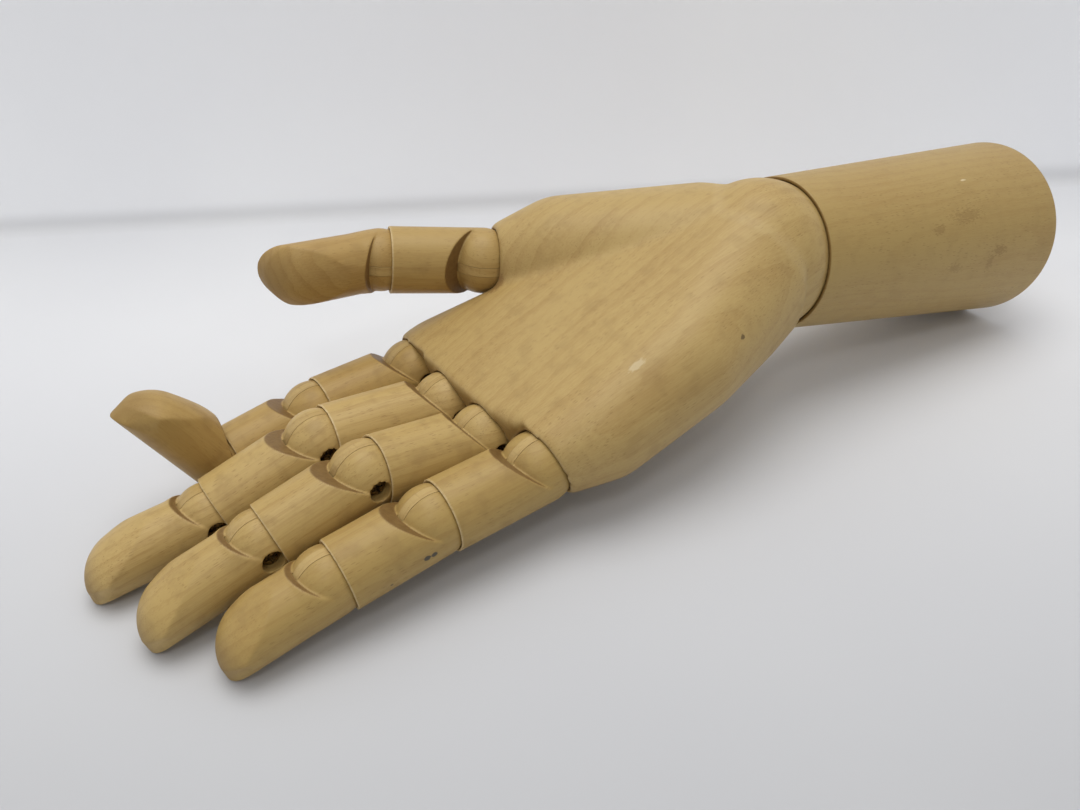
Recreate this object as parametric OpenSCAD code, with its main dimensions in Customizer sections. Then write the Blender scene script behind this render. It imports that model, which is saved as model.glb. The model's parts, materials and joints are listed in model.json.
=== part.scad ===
// Jointed wooden hand, right hand, lying palm up on the base rim and three fingertips.
// Millimetres. Fingers point to -X, the thumb is on +Y, the palm faces +Z.

/* [Forearm] */
// Diameter of the forearm at its base end
base_d = 60; // [56:0.5:64]
// Diameter of the forearm at the wrist rim
rim_d = 47; // [47:0.5:49]
// Length of the forearm between its two end faces
forearm_len = 104; // [95:1:115]
// Rise of the forearm above the table, in degrees
forearm_tilt = 9.7; // [9:0.1:10.5]

/* [Wrist] */
// Radius of the wrist ball
wrist_r = 23.5; // [23:0.1:24]
// Distance from the forearm's rim to the centre of the wrist ball
wrist_out = 7; // [6:0.5:8]
// Slope of the palm below the level, in degrees
palm_slope = 16.9; // [16:0.1:18]

/* [Palm] */
// Distance of each knuckle from the wrist ball, index to little
knuckle_s = [102.7, 102.6, 101.4, 96.4]; // [90:0.1:110]
// Place of each knuckle across the palm, index to little
knuckle_y = [46.0, 22.7, 0.8, -20.7]; // [-25:0.1:50]
// Fan of each finger towards the little finger's side, in degrees, index to little
finger_fan = [5.0, 2.2, 4.2, 2.9]; // [-3:0.1:6]

/* [Fingers] */
// Radius of a finger's proximal, middle and end segment
finger_r = [10.1, 9.7, 9.2]; // [8.5:0.1:10.3]
// Length of each finger's proximal segment, index to little
proximal_len = [34.2, 40.2, 36.7, 32.2]; // [30:0.1:42]
// Length of each finger's middle segment, index to little
middle_len = [29.3, 34.4, 30.9, 29.3]; // [25:0.1:36]
// Length of each finger's end segment, index to little
tip_len = [34.8, 34.5, 35.1, 30.5]; // [30:0.1:38]
// Bend of each knuckle out of the palm's plane, index to little, in degrees
knuckle_bend = [15, 22, 24.3, 13.6]; // [0:0.1:30]
// Bend of each middle joint, index to little, in degrees
middle_bend = [-7, -21.5, -20.5, -4.3]; // [-26:0.1:30]
// Bend of each end joint, index to little, in degrees
tip_bend = [71, 11.2, 0.6, -2.8]; // [-27:0.1:72]

/* [Thumb] */
// Radius of the thumb's proximal and end segment
thumb_r = [10.4, 9.7]; // [9:0.1:11]
// Length of the thumb's proximal and end segment
thumb_len = [32.5, 36]; // [30:0.5:40]
// Bend of the thumb's base and end joint, in degrees
thumb_bend = [0, 27]; // [-20:0.5:40]

/* [Joints] */
// Gap between a ball and its cup
cup_gap = 0.25; // [0.2:0.05:0.35]
// Distance from a finger joint's axis back to the rim of its cup
rim_back = 2.8; // [2.4:0.1:3.2]
// Thickness of a joint's tongue
tongue_t = 2.8; // [2.4:0.1:3.2]
// Radius of a joint screw's shank
screw_r = 1.5; // [1.2:0.1:1.8]

/* [Hidden] */
$fn = 96;
hull_fn = 24;
FINGERS = ["index", "middle", "ring", "little"];
wood = "burlywood";
pale_wood = "wheat";
steel = "dimgray";

slot_gap = 0.1;
bore_gap = 0.05;
tongue_low = 0.4;
slot_over = 0.3;
tongue_neck = 4;
tongue_deep = 15;
head_r = 2.6;
head_h = 1.8;
head_sunk = 2.2;
head_hole_r = 2.9;
screw_short = 2.6;
recess_w = 0.7;
recess_l = 3.2;
recess_h = 0.9;

// Reach of the cuts that only have to clear the part
far = 60;

// Oblique cut behind each ball: start along the axis and slope, for the three finger joints
cut_start = [3.5, 1.5, -0.5];
cut_slope = [0.91, 1.05, 0.98];
index_end_slope = 1.6;
// Fingertip: first slope of its palm side and the radius it curves with, then as shares of the
// segment's radius where it starts, the ball that rounds the end and the end seen from above
tip_taper = [6, 6, 6, 11];
thumb_taper = 6;
taper_r = 80;
taper_start = 0.9;
tip_round = 1.41;
tip_reach = 0.985;
tip_wall = 1.1;
tip_over = 0.03;
tip_lap = 0.5;

base_r = base_d / 2;
rim_r = rim_d / 2;
wrist_along = forearm_len + wrist_out;
base_centre_z = base_r * cos(forearm_tilt);
wrist_x = -wrist_along * cos(forearm_tilt);
wrist_z = base_centre_z + wrist_along * sin(forearm_tilt);

// Forearm core, measured from the wrist ball's centre towards the base
neck_bore_r = 5.7;
spring_seat = 40;
spring_bore_r = 7;
plug_r = 8;
plug_h = 8;
link_t = 4;
link_eye_r = 8;
link_half = 5;
link_len = 32;
link_room = 0.4;
link_low = -29;
link_high = 11;
rod_r = 3;
rod_end = 76;
spring_len = 24;
spring_wire = 1.6;
spring_mid_r = 5.2;
spring_turns = 8;
washer_r = 6.4;
washer_h = 1.5;
nut_r = 5.6;
nut_h = 5;
pin_r = 2.5;
pin_half = 15;

// Heel of the palm: where the block starts behind the wrist ball's centre, and its lean
heel_start = 3;
heel_lean = 13;
// Half of the width that each finger clears in front of its knuckle's rim
clear_half = 10.7;
knuckle_skin = 1.0;
// Balls around which the palm's slab and the ball of the thumb are drawn: distance from the
// wrist, place across, height out of the palm's plane and radius
slab_lumps = [[7, 4, -1, 23.2], [22, -8.5, -1.5, 20.5], [44, -18.5, 0, 17], [75, -20.5, -1.7, 15]];
thenar_lumps = [[10, 14.5, 0.8, 22.2], [43, 42.5, 8, 20]];
thumb_base = [-65.3, 52.4, 16.9];
thumb_swing = 19.5;
thumb_rise = 25;
thumb_roll = 8;
// Part of the palm behind the thumb's cup, along the thumb's line
thumb_stub = [3, 12];

// The origin of the part: below the middle of its box
origin_x = -154.71;
origin_y = 18.23;

wood_nodes = [for (f = FINGERS) for (p = ["proximal", "middle", "tip"]) str(f, "_", p)];
tongue_nodes = [for (f = FINGERS) for (p = ["knuckle", "middle", "tip"]) str(f, "_", p, "_tongue")];
screw_nodes = [for (f = FINGERS) for (p = ["knuckle", "middle", "tip"]) str(f, "_", p, "_screw")];

// Frames. Each one has -X towards the fingertips and +Z out of the palm side.
module in_part() translate([-origin_x, -origin_y, 0]) children();
module in_forearm() in_part() translate([wrist_x, 0, wrist_z]) rotate([0, forearm_tilt, 0]) children();
module in_palm() in_part() translate([wrist_x, 0, wrist_z]) rotate([0, -palm_slope, 0]) children();
module in_knuckle(i) in_palm() translate([-knuckle_s[i], knuckle_y[i], 0])
    rotate([0, 0, finger_fan[i]]) children();
module in_proximal(i) in_knuckle(i) rotate([0, knuckle_bend[i], 0]) children();
module in_middle(i) in_proximal(i) translate([-proximal_len[i], 0, 0])
    rotate([0, middle_bend[i], 0]) children();
module in_tip(i) in_middle(i) translate([-middle_len[i], 0, 0]) rotate([0, tip_bend[i], 0]) children();
// The thumb's line, measured in the palm's frame
module in_thumb_line() translate(thumb_base) rotate([0, 0, -thumb_swing]) rotate([0, thumb_rise, 0]) children();
module in_thumb_cup() in_thumb_line() rotate([90 - thumb_roll, 0, 0]) children();
module in_thumb_base() in_palm() in_thumb_cup() children();
module in_thumb() in_thumb_base() rotate([0, thumb_bend[0], 0]) children();
module in_thumb_tip() in_thumb() translate([-thumb_len[0], 0, 0])
    rotate([0, thumb_bend[1], 0]) children();

// A round bar along -X, from x0 to x1
module bar(r, x0, x1) translate([-x1, 0, 0]) rotate([0, 90, 0]) cylinder(r = r, h = x1 - x0);

// What the oblique cut takes away in front of a ball, on the palm side
module oblique_cut(start, slope) {
    translate([-start, 0, 0]) rotate([0, -atan(slope), 0])
        translate([0, -far / 2, 0]) cube([far, far, far]);
}

// Slot across a ball for the tongue, and the screw's stepped hole through it
module joint_slot(r) {
    slot = tongue_t + 2 * slot_gap;
    translate([0, slot / 2, 0]) rotate([90, 0, 0]) cylinder(r = r + slot_over, h = slot);
}

module screw_hole(r, side) {
    rotate([side * 90, 0, 0]) {
        translate([0, 0, -r + screw_short]) cylinder(r = screw_r + bore_gap, h = 2 * r);
        translate([0, 0, r - head_sunk - head_h]) cylinder(r = head_hole_r, h = r);
    }
}

module joint_screw(r, side) color(steel) rotate([side * 90, 0, 0]) difference() {
    union() {
        translate([0, 0, -r + screw_short + bore_gap])
            cylinder(r = screw_r, h = 2 * r - head_sunk - head_h - screw_short);
        translate([0, 0, r - head_sunk - head_h + bore_gap]) cylinder(r = head_r, h = head_h - bore_gap);
    }
    for (turn = [0, 90]) rotate([0, 0, turn])
        translate([-recess_l / 2, -recess_w / 2, r - head_sunk - recess_h]) cube([recess_l, recess_w, 2]);
}

// Tongue: a disc in the ball's slot and a neck let into the piece behind
module tongue(r) color(pale_wood) difference() {
    union() {
        translate([0, tongue_t / 2, 0]) rotate([90, 0, 0]) cylinder(r = r - tongue_low, h = tongue_t);
        translate([0, -tongue_t / 2, -tongue_neck]) cube([tongue_deep, tongue_t, 2 * tongue_neck]);
    }
    translate([0, r, 0]) rotate([90, 0, 0]) cylinder(r = screw_r + bore_gap, h = 2 * r);
}

// What a ball joint takes out of the piece behind it: the cup and the tongue's mortise
module socket(r) {
    sphere(r = r + cup_gap);
    translate([0, -tongue_t / 2, -tongue_neck]) cube([tongue_deep, tongue_t, 2 * tongue_neck]);
}

// Ball and dowel of one segment, with the oblique cut on the palm side
module segment_blank(r, reach, start, slope) {
    sphere(r = r);
    difference() {
        bar(r, 0, reach);
        oblique_cut(start, slope);
    }
}

// A segment with a ball behind and a cup in front
module link_segment(r, len, next_r, start, slope, side) color(wood) difference() {
    segment_blank(r, len - rim_back, start, slope);
    translate([-len, 0, 0]) socket(next_r);
    joint_slot(r);
    screw_hole(r, side);
}

// An end segment, its palm side sloping and rounded down to the tip, its dorsal line straight
module tip_segment(r, len, start, slope, side, taper) color(wood) difference() {
    round_r = tip_round * r;
    centre_x = len - tip_reach * round_r;
    taper_x = taper_start * r - taper_r * sin(taper);
    taper_z = r - taper_r * cos(taper) + tip_over;
    away = centre_x - taper_x;
    centre_z = taper_z + sqrt(pow(taper_r - round_r, 2) - away * away);
    split_x = taper_x + away * taper_r / (taper_r - round_r);
    wall_x = len - tip_wall * r;
    union() {
        sphere(r = r);
        intersection() {
            union() {
                difference() {
                    bar(r, 0, split_x);
                    oblique_cut(start, slope);
                }
                intersection() {
                    bar(r, split_x - tip_lap, len + 1);
                    translate([-centre_x, 0, centre_z]) sphere(r = round_r);
                    union() {
                        translate([-wall_x, 0, -2 * r]) cylinder(r = tip_wall * r, h = 4 * r);
                        translate([-wall_x, -2 * r, -2 * r]) cube([2 * r, 4 * r, 4 * r]);
                    }
                }
            }
            translate([-taper_x, 0, taper_z]) rotate([90, 0, 0]) sphere(r = taper_r);
        }
    }
    joint_slot(r);
    screw_hole(r, side);
}

module forearm() color(wood) in_forearm() difference() {
    translate([wrist_out, 0, 0]) rotate([0, 90, 0]) cylinder(r1 = rim_r, r2 = base_r, h = forearm_len);
    sphere(r = wrist_r + cup_gap);
    rotate([0, 90, 0]) cylinder(r = neck_bore_r, h = spring_seat + 1);
    translate([spring_seat, 0, 0]) rotate([0, 90, 0])
        cylinder(r = spring_bore_r, h = wrist_along - plug_h - spring_seat + 1);
    translate([wrist_along - plug_h, 0, 0]) rotate([0, 90, 0]) cylinder(r = plug_r + bore_gap, h = plug_h + 1);
}

module base_plug() color(pale_wood) in_forearm()
    translate([wrist_along - plug_h, 0, 0]) rotate([0, 90, 0]) cylinder(r = plug_r, h = plug_h);

module wrist_link() color(steel) in_forearm() difference() {
    union() {
        translate([0, link_t / 2, 0]) rotate([90, 0, 0]) cylinder(r = link_eye_r, h = link_t);
        translate([0, -link_t / 2, -link_half]) cube([link_len, link_t, 2 * link_half]);
        translate([link_len - 1, 0, 0]) rotate([0, 90, 0]) cylinder(r = rod_r, h = rod_end - link_len + 1);
    }
    translate([0, link_t, 0]) rotate([90, 0, 0]) cylinder(r = pin_r + bore_gap, h = 2 * link_t);
}

module wrist_washer() color(steel) in_forearm()
    translate([spring_seat + spring_len, 0, 0]) rotate([0, 90, 0]) difference() {
        cylinder(r = washer_r, h = washer_h);
        translate([0, 0, -1]) cylinder(r = rod_r + bore_gap, h = washer_h + 2);
    }

module wrist_nut() color(steel) in_forearm()
    translate([spring_seat + spring_len + washer_h, 0, 0]) rotate([0, 90, 0]) difference() {
        cylinder(r = nut_r, h = nut_h, $fn = 6);
        translate([0, 0, -1]) cylinder(r = rod_r + bore_gap, h = nut_h + 2);
    }

// Spring between the seat in the forearm and the washer, as one sleeve of its outer shape
module wrist_spring() color(steel) in_forearm()
    translate([spring_seat + bore_gap, 0, 0]) rotate([0, 90, 0]) difference() {
        cylinder(r = spring_mid_r + spring_wire / 2, h = spring_len - 2 * bore_gap);
        translate([0, 0, -1]) cylinder(r = spring_mid_r - spring_wire / 2, h = spring_len + 2);
    }

module wrist_pin() color(steel) in_palm()
    translate([0, pin_half, 0]) rotate([90, 0, 0]) cylinder(r = pin_r, h = 2 * pin_half);

module wrist_pin_plug() color(pale_wood) in_palm() intersection() {
    translate([0, wrist_r + 1, 0]) rotate([90, 0, 0]) cylinder(r = pin_r, h = wrist_r + 1 - pin_half - bore_gap);
    sphere(r = wrist_r);
}

// One ball of the palm's outline
module lump(ball) translate([-ball[0], ball[1], ball[2]]) sphere(r = ball[3], $fn = hull_fn);
// Round end of the palm behind one knuckle
module knuckle_end(i) translate([-knuckle_s[i] + rim_back, knuckle_y[i], 0])
    rotate([0, 0, finger_fan[i]]) rotate([0, 90, 0])
        cylinder(r = finger_r[0] + knuckle_skin, h = 8, $fn = hull_fn);

// Outline of the palm: the slab from the heel to the knuckles, and the ball of the thumb
module palm_block() {
    hull() {
        for (ball = slab_lumps) lump(ball);
        for (i = [0:3]) knuckle_end(i);
    }
    hull() {
        for (ball = thenar_lumps) lump(ball);
        in_thumb_line() bar(thumb_r[0] + knuckle_skin, -thumb_stub[1], -thumb_stub[0]);
    }
}

// Everything in front of a knuckle's rim, as wide as its share of the palm
module knuckle_clear(i) translate([-knuckle_s[i] + rim_back, knuckle_y[i], 0]) rotate([0, 0, finger_fan[i]]) {
    translate([-far, -clear_half, -far]) cube([far, i == 3 ? clear_half : 2 * clear_half, 2 * far]);
    if (i == 3) translate([-far, -far, -far]) cube([far, far + 1, 2 * far]);
    if (i == 0) translate([-far, 0, -far]) cube([far, far, far + finger_r[0] + knuckle_skin]);
}

// Room for the link inside the wrist ball, over the swing of the palm: the link's two end
// directions in the palm's frame, and a wedge between its outer edges there
module link_slot() {
    half = link_t / 2 + link_room / 2;
    side = link_half + link_room;
    low = [cos(link_low), sin(link_low)];
    high = [cos(link_high), sin(link_high)];
    low_side = side * [low[1], -low[0]];
    high_side = side * [-high[1], high[0]];
    rotate([90, 0, 0]) translate([0, 0, -half]) linear_extrude(2 * half) {
        circle(r = link_eye_r + link_room);
        polygon([low_side, low_side + far * low, high_side + far * high, high_side]);
    }
}

module palm() color(wood) in_palm() difference() {
    union() {
        rotate([0, 0, 180]) sphere(r = wrist_r);
        difference() {
            palm_block();
            translate([-heel_start, 0, 0]) rotate([0, heel_lean, 0]) translate([0, -far, -far])
                cube([far, 2 * far, 2 * far]);
        }
    }
    for (i = [0:3]) knuckle_clear(i);
    for (i = [0:3]) translate([-knuckle_s[i], knuckle_y[i], 0]) rotate([0, 0, finger_fan[i]])
        socket(finger_r[0]);
    in_thumb_cup() socket(thumb_r[0]);
    link_slot();
    translate([0, wrist_r + 1, 0]) rotate([90, 0, 0])
        cylinder(r = pin_r + bore_gap, h = wrist_r + 1 + pin_half + bore_gap);
}

// Side of the screw head: 1 is the little finger's side, -1 the thumb's
function head_side(i) = i == 3 ? -1 : 1;

module finger_proximal(i) in_proximal(i)
    link_segment(finger_r[0], proximal_len[i], finger_r[1], cut_start[0], cut_slope[0], head_side(i));
module finger_middle(i) in_middle(i)
    link_segment(finger_r[1], middle_len[i], finger_r[2], cut_start[1], cut_slope[1], head_side(i));
module finger_tip(i) in_tip(i)
    tip_segment(finger_r[2], tip_len[i], cut_start[2], i == 0 ? index_end_slope : cut_slope[2],
        head_side(i), tip_taper[i]);

module finger_tongue(i, joint) {
    if (joint == 0) in_knuckle(i) tongue(finger_r[0]);
    if (joint == 1) in_proximal(i) translate([-proximal_len[i], 0, 0]) tongue(finger_r[1]);
    if (joint == 2) in_middle(i) translate([-middle_len[i], 0, 0]) tongue(finger_r[2]);
}
module finger_screw(i, joint) {
    if (joint == 0) in_proximal(i) joint_screw(finger_r[0], head_side(i));
    if (joint == 1) in_middle(i) joint_screw(finger_r[1], head_side(i));
    if (joint == 2) in_tip(i) joint_screw(finger_r[2], head_side(i));
}

module thumb_proximal() in_thumb()
    link_segment(thumb_r[0], thumb_len[0], thumb_r[1], cut_start[0], cut_slope[0], 1);
module thumb_tip() in_thumb_tip()
    tip_segment(thumb_r[1], thumb_len[1], cut_start[1], cut_slope[1], 1, thumb_taper);
module thumb_base_tongue() in_thumb_base() tongue(thumb_r[0]);
module thumb_tip_tongue() in_thumb() translate([-thumb_len[0], 0, 0]) tongue(thumb_r[1]);
module thumb_base_screw() in_thumb() joint_screw(thumb_r[0], 1);
module thumb_tip_screw() in_thumb_tip() joint_screw(thumb_r[1], 1);

forearm();
base_plug();
palm();
thumb_proximal();
thumb_tip();
wrist_link();
wrist_pin();
wrist_pin_plug();
wrist_spring();
wrist_washer();
wrist_nut();
thumb_base_tongue();
thumb_tip_tongue();
thumb_base_screw();
thumb_tip_screw();
for (i = [0:3]) {
    finger_proximal(i);
    finger_middle(i);
    finger_tip(i);
    for (joint = [0:2]) {
        finger_tongue(i, joint);
        finger_screw(i, joint);
    }
}
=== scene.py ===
"""The looks of the jointed wooden hand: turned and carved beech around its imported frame.

Lengths inside the classes are in millimetres, in each piece's own frame, whose -X points to the
fingertips and whose +Z comes out of the palm side. Every finished mesh is in metres, in place.
"""
import json
import logging
import math
from dataclasses import dataclass
from enum import Enum

import bmesh
import bpy
import numpy as np
from mathutils import Matrix, Vector


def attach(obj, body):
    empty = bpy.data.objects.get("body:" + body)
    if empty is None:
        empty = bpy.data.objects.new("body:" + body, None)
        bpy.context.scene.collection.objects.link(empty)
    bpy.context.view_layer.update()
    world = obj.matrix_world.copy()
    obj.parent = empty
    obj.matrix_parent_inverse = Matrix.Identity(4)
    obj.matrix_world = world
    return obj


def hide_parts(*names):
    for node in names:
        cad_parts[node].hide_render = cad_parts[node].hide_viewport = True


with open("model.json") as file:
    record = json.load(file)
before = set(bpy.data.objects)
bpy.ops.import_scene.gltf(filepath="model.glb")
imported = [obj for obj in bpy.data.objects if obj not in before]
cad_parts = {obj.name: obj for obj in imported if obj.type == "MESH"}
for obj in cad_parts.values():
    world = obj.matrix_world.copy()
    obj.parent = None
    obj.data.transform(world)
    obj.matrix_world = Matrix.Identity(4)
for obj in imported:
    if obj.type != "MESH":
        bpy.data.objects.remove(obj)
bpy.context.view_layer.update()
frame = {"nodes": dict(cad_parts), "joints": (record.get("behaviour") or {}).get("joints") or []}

MM = 0.001
LOG = logging.getLogger("hand")

Colour = tuple[float, float, float]
Triple = tuple[float, float, float]
Lump = tuple[float, float, float, float]


class HeadSide(Enum):
    """The side of a joint that its screw's head is sunk in."""

    LITTLE = -1
    THUMB = 1


class Stock(Enum):
    """What a piece is cut from."""

    BEECH = "hand_wood"
    TONGUE = "tongue_wood"
    SCREW = "screw_metal"
    WRIST_METAL = "wrist_metal"


def srgb(red: float, green: float, blue: float) -> Colour:
    """A colour given in 0 to 255 display values, as linear values."""
    linear = []
    for value in (red, green, blue):
        share = value / 255
        linear.append(share / 12.92 if share <= 0.04045 else ((share + 0.055) / 1.055) ** 2.4)
    return (linear[0], linear[1], linear[2])


@dataclass(frozen=True)
class Place:
    """Where a piece's own frame lies in the part's frame, in metres."""

    origin: Vector
    along: Vector
    across: Vector

    @property
    def out(self) -> Vector:
        """The frame's +Z."""
        return self.along.cross(self.across).normalized()

    def matrix(self) -> Matrix:
        """Takes millimetres in the piece's own frame to metres in the part's frame."""
        turn = Matrix((self.along, self.across, self.out)).transposed().to_4x4()
        return Matrix.Translation(self.origin) @ turn @ Matrix.Scale(MM, 4)

    def bent(self, degrees: float) -> "Place":
        """The same origin, turned about +Y.

        Args:
            degrees: The bend; positive raises the fingertips.

        Returns:
            The turned frame.
        """
        turn = Matrix.Rotation(math.radians(degrees), 3, self.across)
        return Place(self.origin, turn @ self.along, self.across)

    def moved(self, x: float, y: float, z: float) -> "Place":
        """The same directions, with the origin moved by millimetres along them."""
        shift = self.along * x + self.across * y + self.out * z
        return Place(self.origin + shift * MM, self.along, self.across)


class Nodes:
    """Short calls that add nodes to one tree and wire them."""

    def __init__(self, tree: bpy.types.NodeTree) -> None:
        """Keeps the tree."""
        self.tree = tree

    def add(self, kind: str, **values: object) -> bpy.types.Node:
        """Adds a node.

        Args:
            kind: The node's type name.
            **values: Properties of the node by name.

        Returns:
            The new node.
        """
        node = self.tree.nodes.new(kind)
        for name, value in values.items():
            setattr(node, name, value)
        return node

    def feed(self, socket: bpy.types.NodeSocket, value: object) -> None:
        """Links or sets one input socket."""
        if isinstance(value, bpy.types.NodeSocket):
            self.tree.links.new(value, socket)
        elif value is not None:
            if socket.type == "RGBA" and len(value) == 3:
                value = (*value, 1.0)
            socket.default_value = value

    def math(self, operation: str, *values: object, clamp: bool = False) -> bpy.types.NodeSocket:
        """A Math node's result."""
        node = self.add("ShaderNodeMath", operation=operation, use_clamp=clamp)
        for socket, value in zip(node.inputs, values):
            self.feed(socket, value)
        return node.outputs[0]

    def vector(self, operation: str, *values: object) -> bpy.types.NodeSocket:
        """A Vector Math node's result, its value where it has one."""
        node = self.add("ShaderNodeVectorMath", operation=operation)
        for socket, value in zip(node.inputs, values):
            self.feed(socket, value)
        single = operation in ("LENGTH", "DISTANCE", "DOT_PRODUCT")
        return node.outputs["Value" if single else "Vector"]

    def axes(self, x: object = 0.0, y: object = 0.0, z: object = 0.0) -> bpy.types.NodeSocket:
        """A vector made of three numbers."""
        node = self.add("ShaderNodeCombineXYZ")
        for socket, value in zip(node.inputs, (x, y, z)):
            self.feed(socket, value)
        return node.outputs[0]

    def split(self, vector: bpy.types.NodeSocket) -> list[bpy.types.NodeSocket]:
        """A vector's three numbers."""
        node = self.add("ShaderNodeSeparateXYZ")
        self.feed(node.inputs[0], vector)
        return list(node.outputs)

    def mix(self, share: object, first: object, second: object, how: str = "MIX") -> bpy.types.NodeSocket:
        """Two colours mixed."""
        node = self.add("ShaderNodeMix", data_type="RGBA", blend_type=how, clamp_factor=True)
        self.feed(node.inputs["Factor"], share)
        self.feed(node.inputs[6], first)
        self.feed(node.inputs[7], second)
        return node.outputs[2]

    def ramp(
        self, value: object, low: float, high: float, to: tuple[float, float] = (0.0, 1.0)
    ) -> bpy.types.NodeSocket:
        """A smooth step of a value from low to high."""
        node = self.add("ShaderNodeMapRange", interpolation_type="SMOOTHSTEP")
        for name, setting in zip(("Value", "From Min", "From Max", "To Min", "To Max"), (value, low, high, *to)):
            self.feed(node.inputs[name], setting)
        return node.outputs["Result"]

    def noise(self, vector: object, detail: float = 2.0, scale: float = 1.0) -> bpy.types.NodeSocket:
        """Smooth noise between 0 and 1."""
        node = self.add("ShaderNodeTexNoise", noise_dimensions="3D")
        self.feed(node.inputs["Vector"], vector)
        node.inputs["Scale"].default_value = scale
        node.inputs["Detail"].default_value = detail
        return node.outputs["Factor" if "Factor" in node.outputs else "Fac"]

    def streaks(self, place: object, along: float, across: float, detail: float = 2.0) -> bpy.types.NodeSocket:
        """Noise drawn out along the grain, by how much it changes in a millimetre along and across it."""
        return self.noise(self.vector("MULTIPLY", place, (along, across, across)), detail)

    def scaled(self, first: object, second: object) -> bpy.types.NodeSocket:
        """Two numbers multiplied."""
        return self.math("MULTIPLY", first, second)

    def bump(self, height: object, share: float, distance: float) -> bpy.types.NodeSocket:
        """The normal of a small relief, whose depth is given in millimetres."""
        node = self.add("ShaderNodeBump")
        for name, value in (("Strength", share), ("Distance", distance * MM), ("Height", height)):
            self.feed(node.inputs[name], value)
        return node.outputs["Normal"]

    def cells(self, vector: object) -> tuple[bpy.types.NodeSocket, bpy.types.NodeSocket]:
        """Voronoi cells: the distance to each one's point and each one's own colour."""
        node = self.add("ShaderNodeTexVoronoi", feature="F1", voronoi_dimensions="3D")
        self.feed(node.inputs["Vector"], vector)
        node.inputs["Scale"].default_value = 1.0
        return node.outputs["Distance"], node.outputs["Color"]


def new_group(
    name: str, vectors: tuple[str, ...], numbers: dict[str, float], colours: dict[str, Colour],
    outputs: tuple[str, ...],
) -> tuple[Nodes, dict, dict]:
    """Starts a shader node group.

    Args:
        name: The group's name.
        vectors: The names of its vector inputs.
        numbers: Its number inputs and their defaults.
        colours: Its colour inputs and their defaults.
        outputs: The names of its outputs; Colour is a colour and the others are numbers.

    Returns:
        The group's nodes, its inner input sockets by name and its inner output sockets by name.
    """
    tree = bpy.data.node_groups.new(name, "ShaderNodeTree")
    origins = dict.fromkeys(vectors, (0.0, 0.0, 0.0))
    for kind, given in (("Vector", origins), ("Float", numbers), ("Color", colours)):
        for label, default in given.items():
            socket = tree.interface.new_socket(label, in_out="INPUT", socket_type="NodeSocket" + kind)
            socket.default_value = (*default, 1.0) if kind == "Color" else default
    for label in outputs:
        kind = "NodeSocketColor" if label == "Colour" else "NodeSocketFloat"
        tree.interface.new_socket(label, in_out="OUTPUT", socket_type=kind)
    nodes = Nodes(tree)
    entry = nodes.add("NodeGroupInput")
    leave = nodes.add("NodeGroupOutput")
    return nodes, {s.name: s for s in entry.outputs}, {s.name: s for s in leave.inputs}


def beech_group() -> bpy.types.NodeTree:
    """The look of planed beech, in millimetres with its grain along X.

    Returns:
        A group that gives Colour, Roughness and Height.
    """
    n, given, out = new_group(
        "beech", ("Place", "Shift"), {"Ring Width": 2.6, "Rings": 0.3, "Flecks": 0.5, "Fibre": 0.35},
        {"Pale": (0.5, 0.35, 0.17), "Dark": (0.35, 0.22, 0.09), "Fleck": (0.2, 0.1, 0.04)},
        ("Colour", "Roughness", "Height"),
    )
    place = n.vector("ADD", given["Place"], given["Shift"])
    bow = n.streaks(place, 0.018, 0.05, 3)
    ripple = n.streaks(place, 0.05, 0.35)
    wander = n.math("ADD", n.scaled(bow, 9.0), n.scaled(ripple, 0.9))
    radius = n.math("ADD", n.vector("LENGTH", n.vector("MULTIPLY", place, (0.0, 1.0, 1.0))), wander)
    year = n.math("DIVIDE", radius, given["Ring Width"])
    phase = n.math("FRACT", year)
    ring = n.scaled(n.ramp(phase, 0.35, 0.97), n.ramp(phase, 0.97, 1.0, (1.0, 0.0)))
    odd = n.noise(n.axes(n.math("FLOOR", year), 3.7, 1.3), detail=0, scale=1.7)
    ring = n.scaled(ring, n.math("MULTIPLY_ADD", odd, 1.4, 0.25))
    fibre = n.streaks(place, 0.09, 2.6, 5)
    fine = n.streaks(place, 0.4, 9.0)
    cloud = n.streaks(place, 0.02, 0.06)
    strand = n.scaled(n.math("SUBTRACT", fibre, 0.42), given["Fibre"])
    tone = n.math("ADD", n.scaled(ring, given["Rings"]), n.scaled(strand, 2.2))
    tone = n.math("ADD", tone, n.scaled(n.math("SUBTRACT", cloud, 0.5), 0.9))
    tone = n.math("ADD", tone, n.scaled(n.math("SUBTRACT", fine, 0.5), 0.35), clamp=True)
    wood = n.mix(tone, given["Pale"], given["Dark"])
    reach, own = n.cells(n.vector("MULTIPLY", place, (0.34, 2.3, 2.3)))
    dash = n.scaled(n.ramp(reach, 0.12, 0.34, (1.0, 0.0)), n.ramp(n.split(own)[0], 0.42, 0.5))
    short, lot = n.cells(n.vector("MULTIPLY", n.vector("ADD", place, (31.0, 7.0, 3.0)), (0.7, 4.2, 4.2)))
    pore = n.scaled(n.ramp(short, 0.1, 0.3, (1.0, 0.0)), n.ramp(n.split(lot)[1], 0.5, 0.6))
    patch = n.ramp(n.streaks(place, 0.03, 0.12), 0.38, 0.62, (0.35, 1.0))
    mark = n.scaled(n.math("ADD", dash, n.scaled(pore, 0.45), clamp=True), patch)
    mark = n.scaled(mark, given["Flecks"])
    n.feed(out["Colour"], n.mix(mark, wood, given["Fleck"]))
    n.feed(out["Roughness"], n.math("ADD", 0.4, n.scaled(fine, 0.14)))
    grain = n.math("SUBTRACT", n.scaled(fibre, 0.5), n.scaled(mark, 0.9))
    n.feed(out["Height"], n.math("SUBTRACT", grain, n.scaled(ring, 0.25)))
    return n.tree


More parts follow.
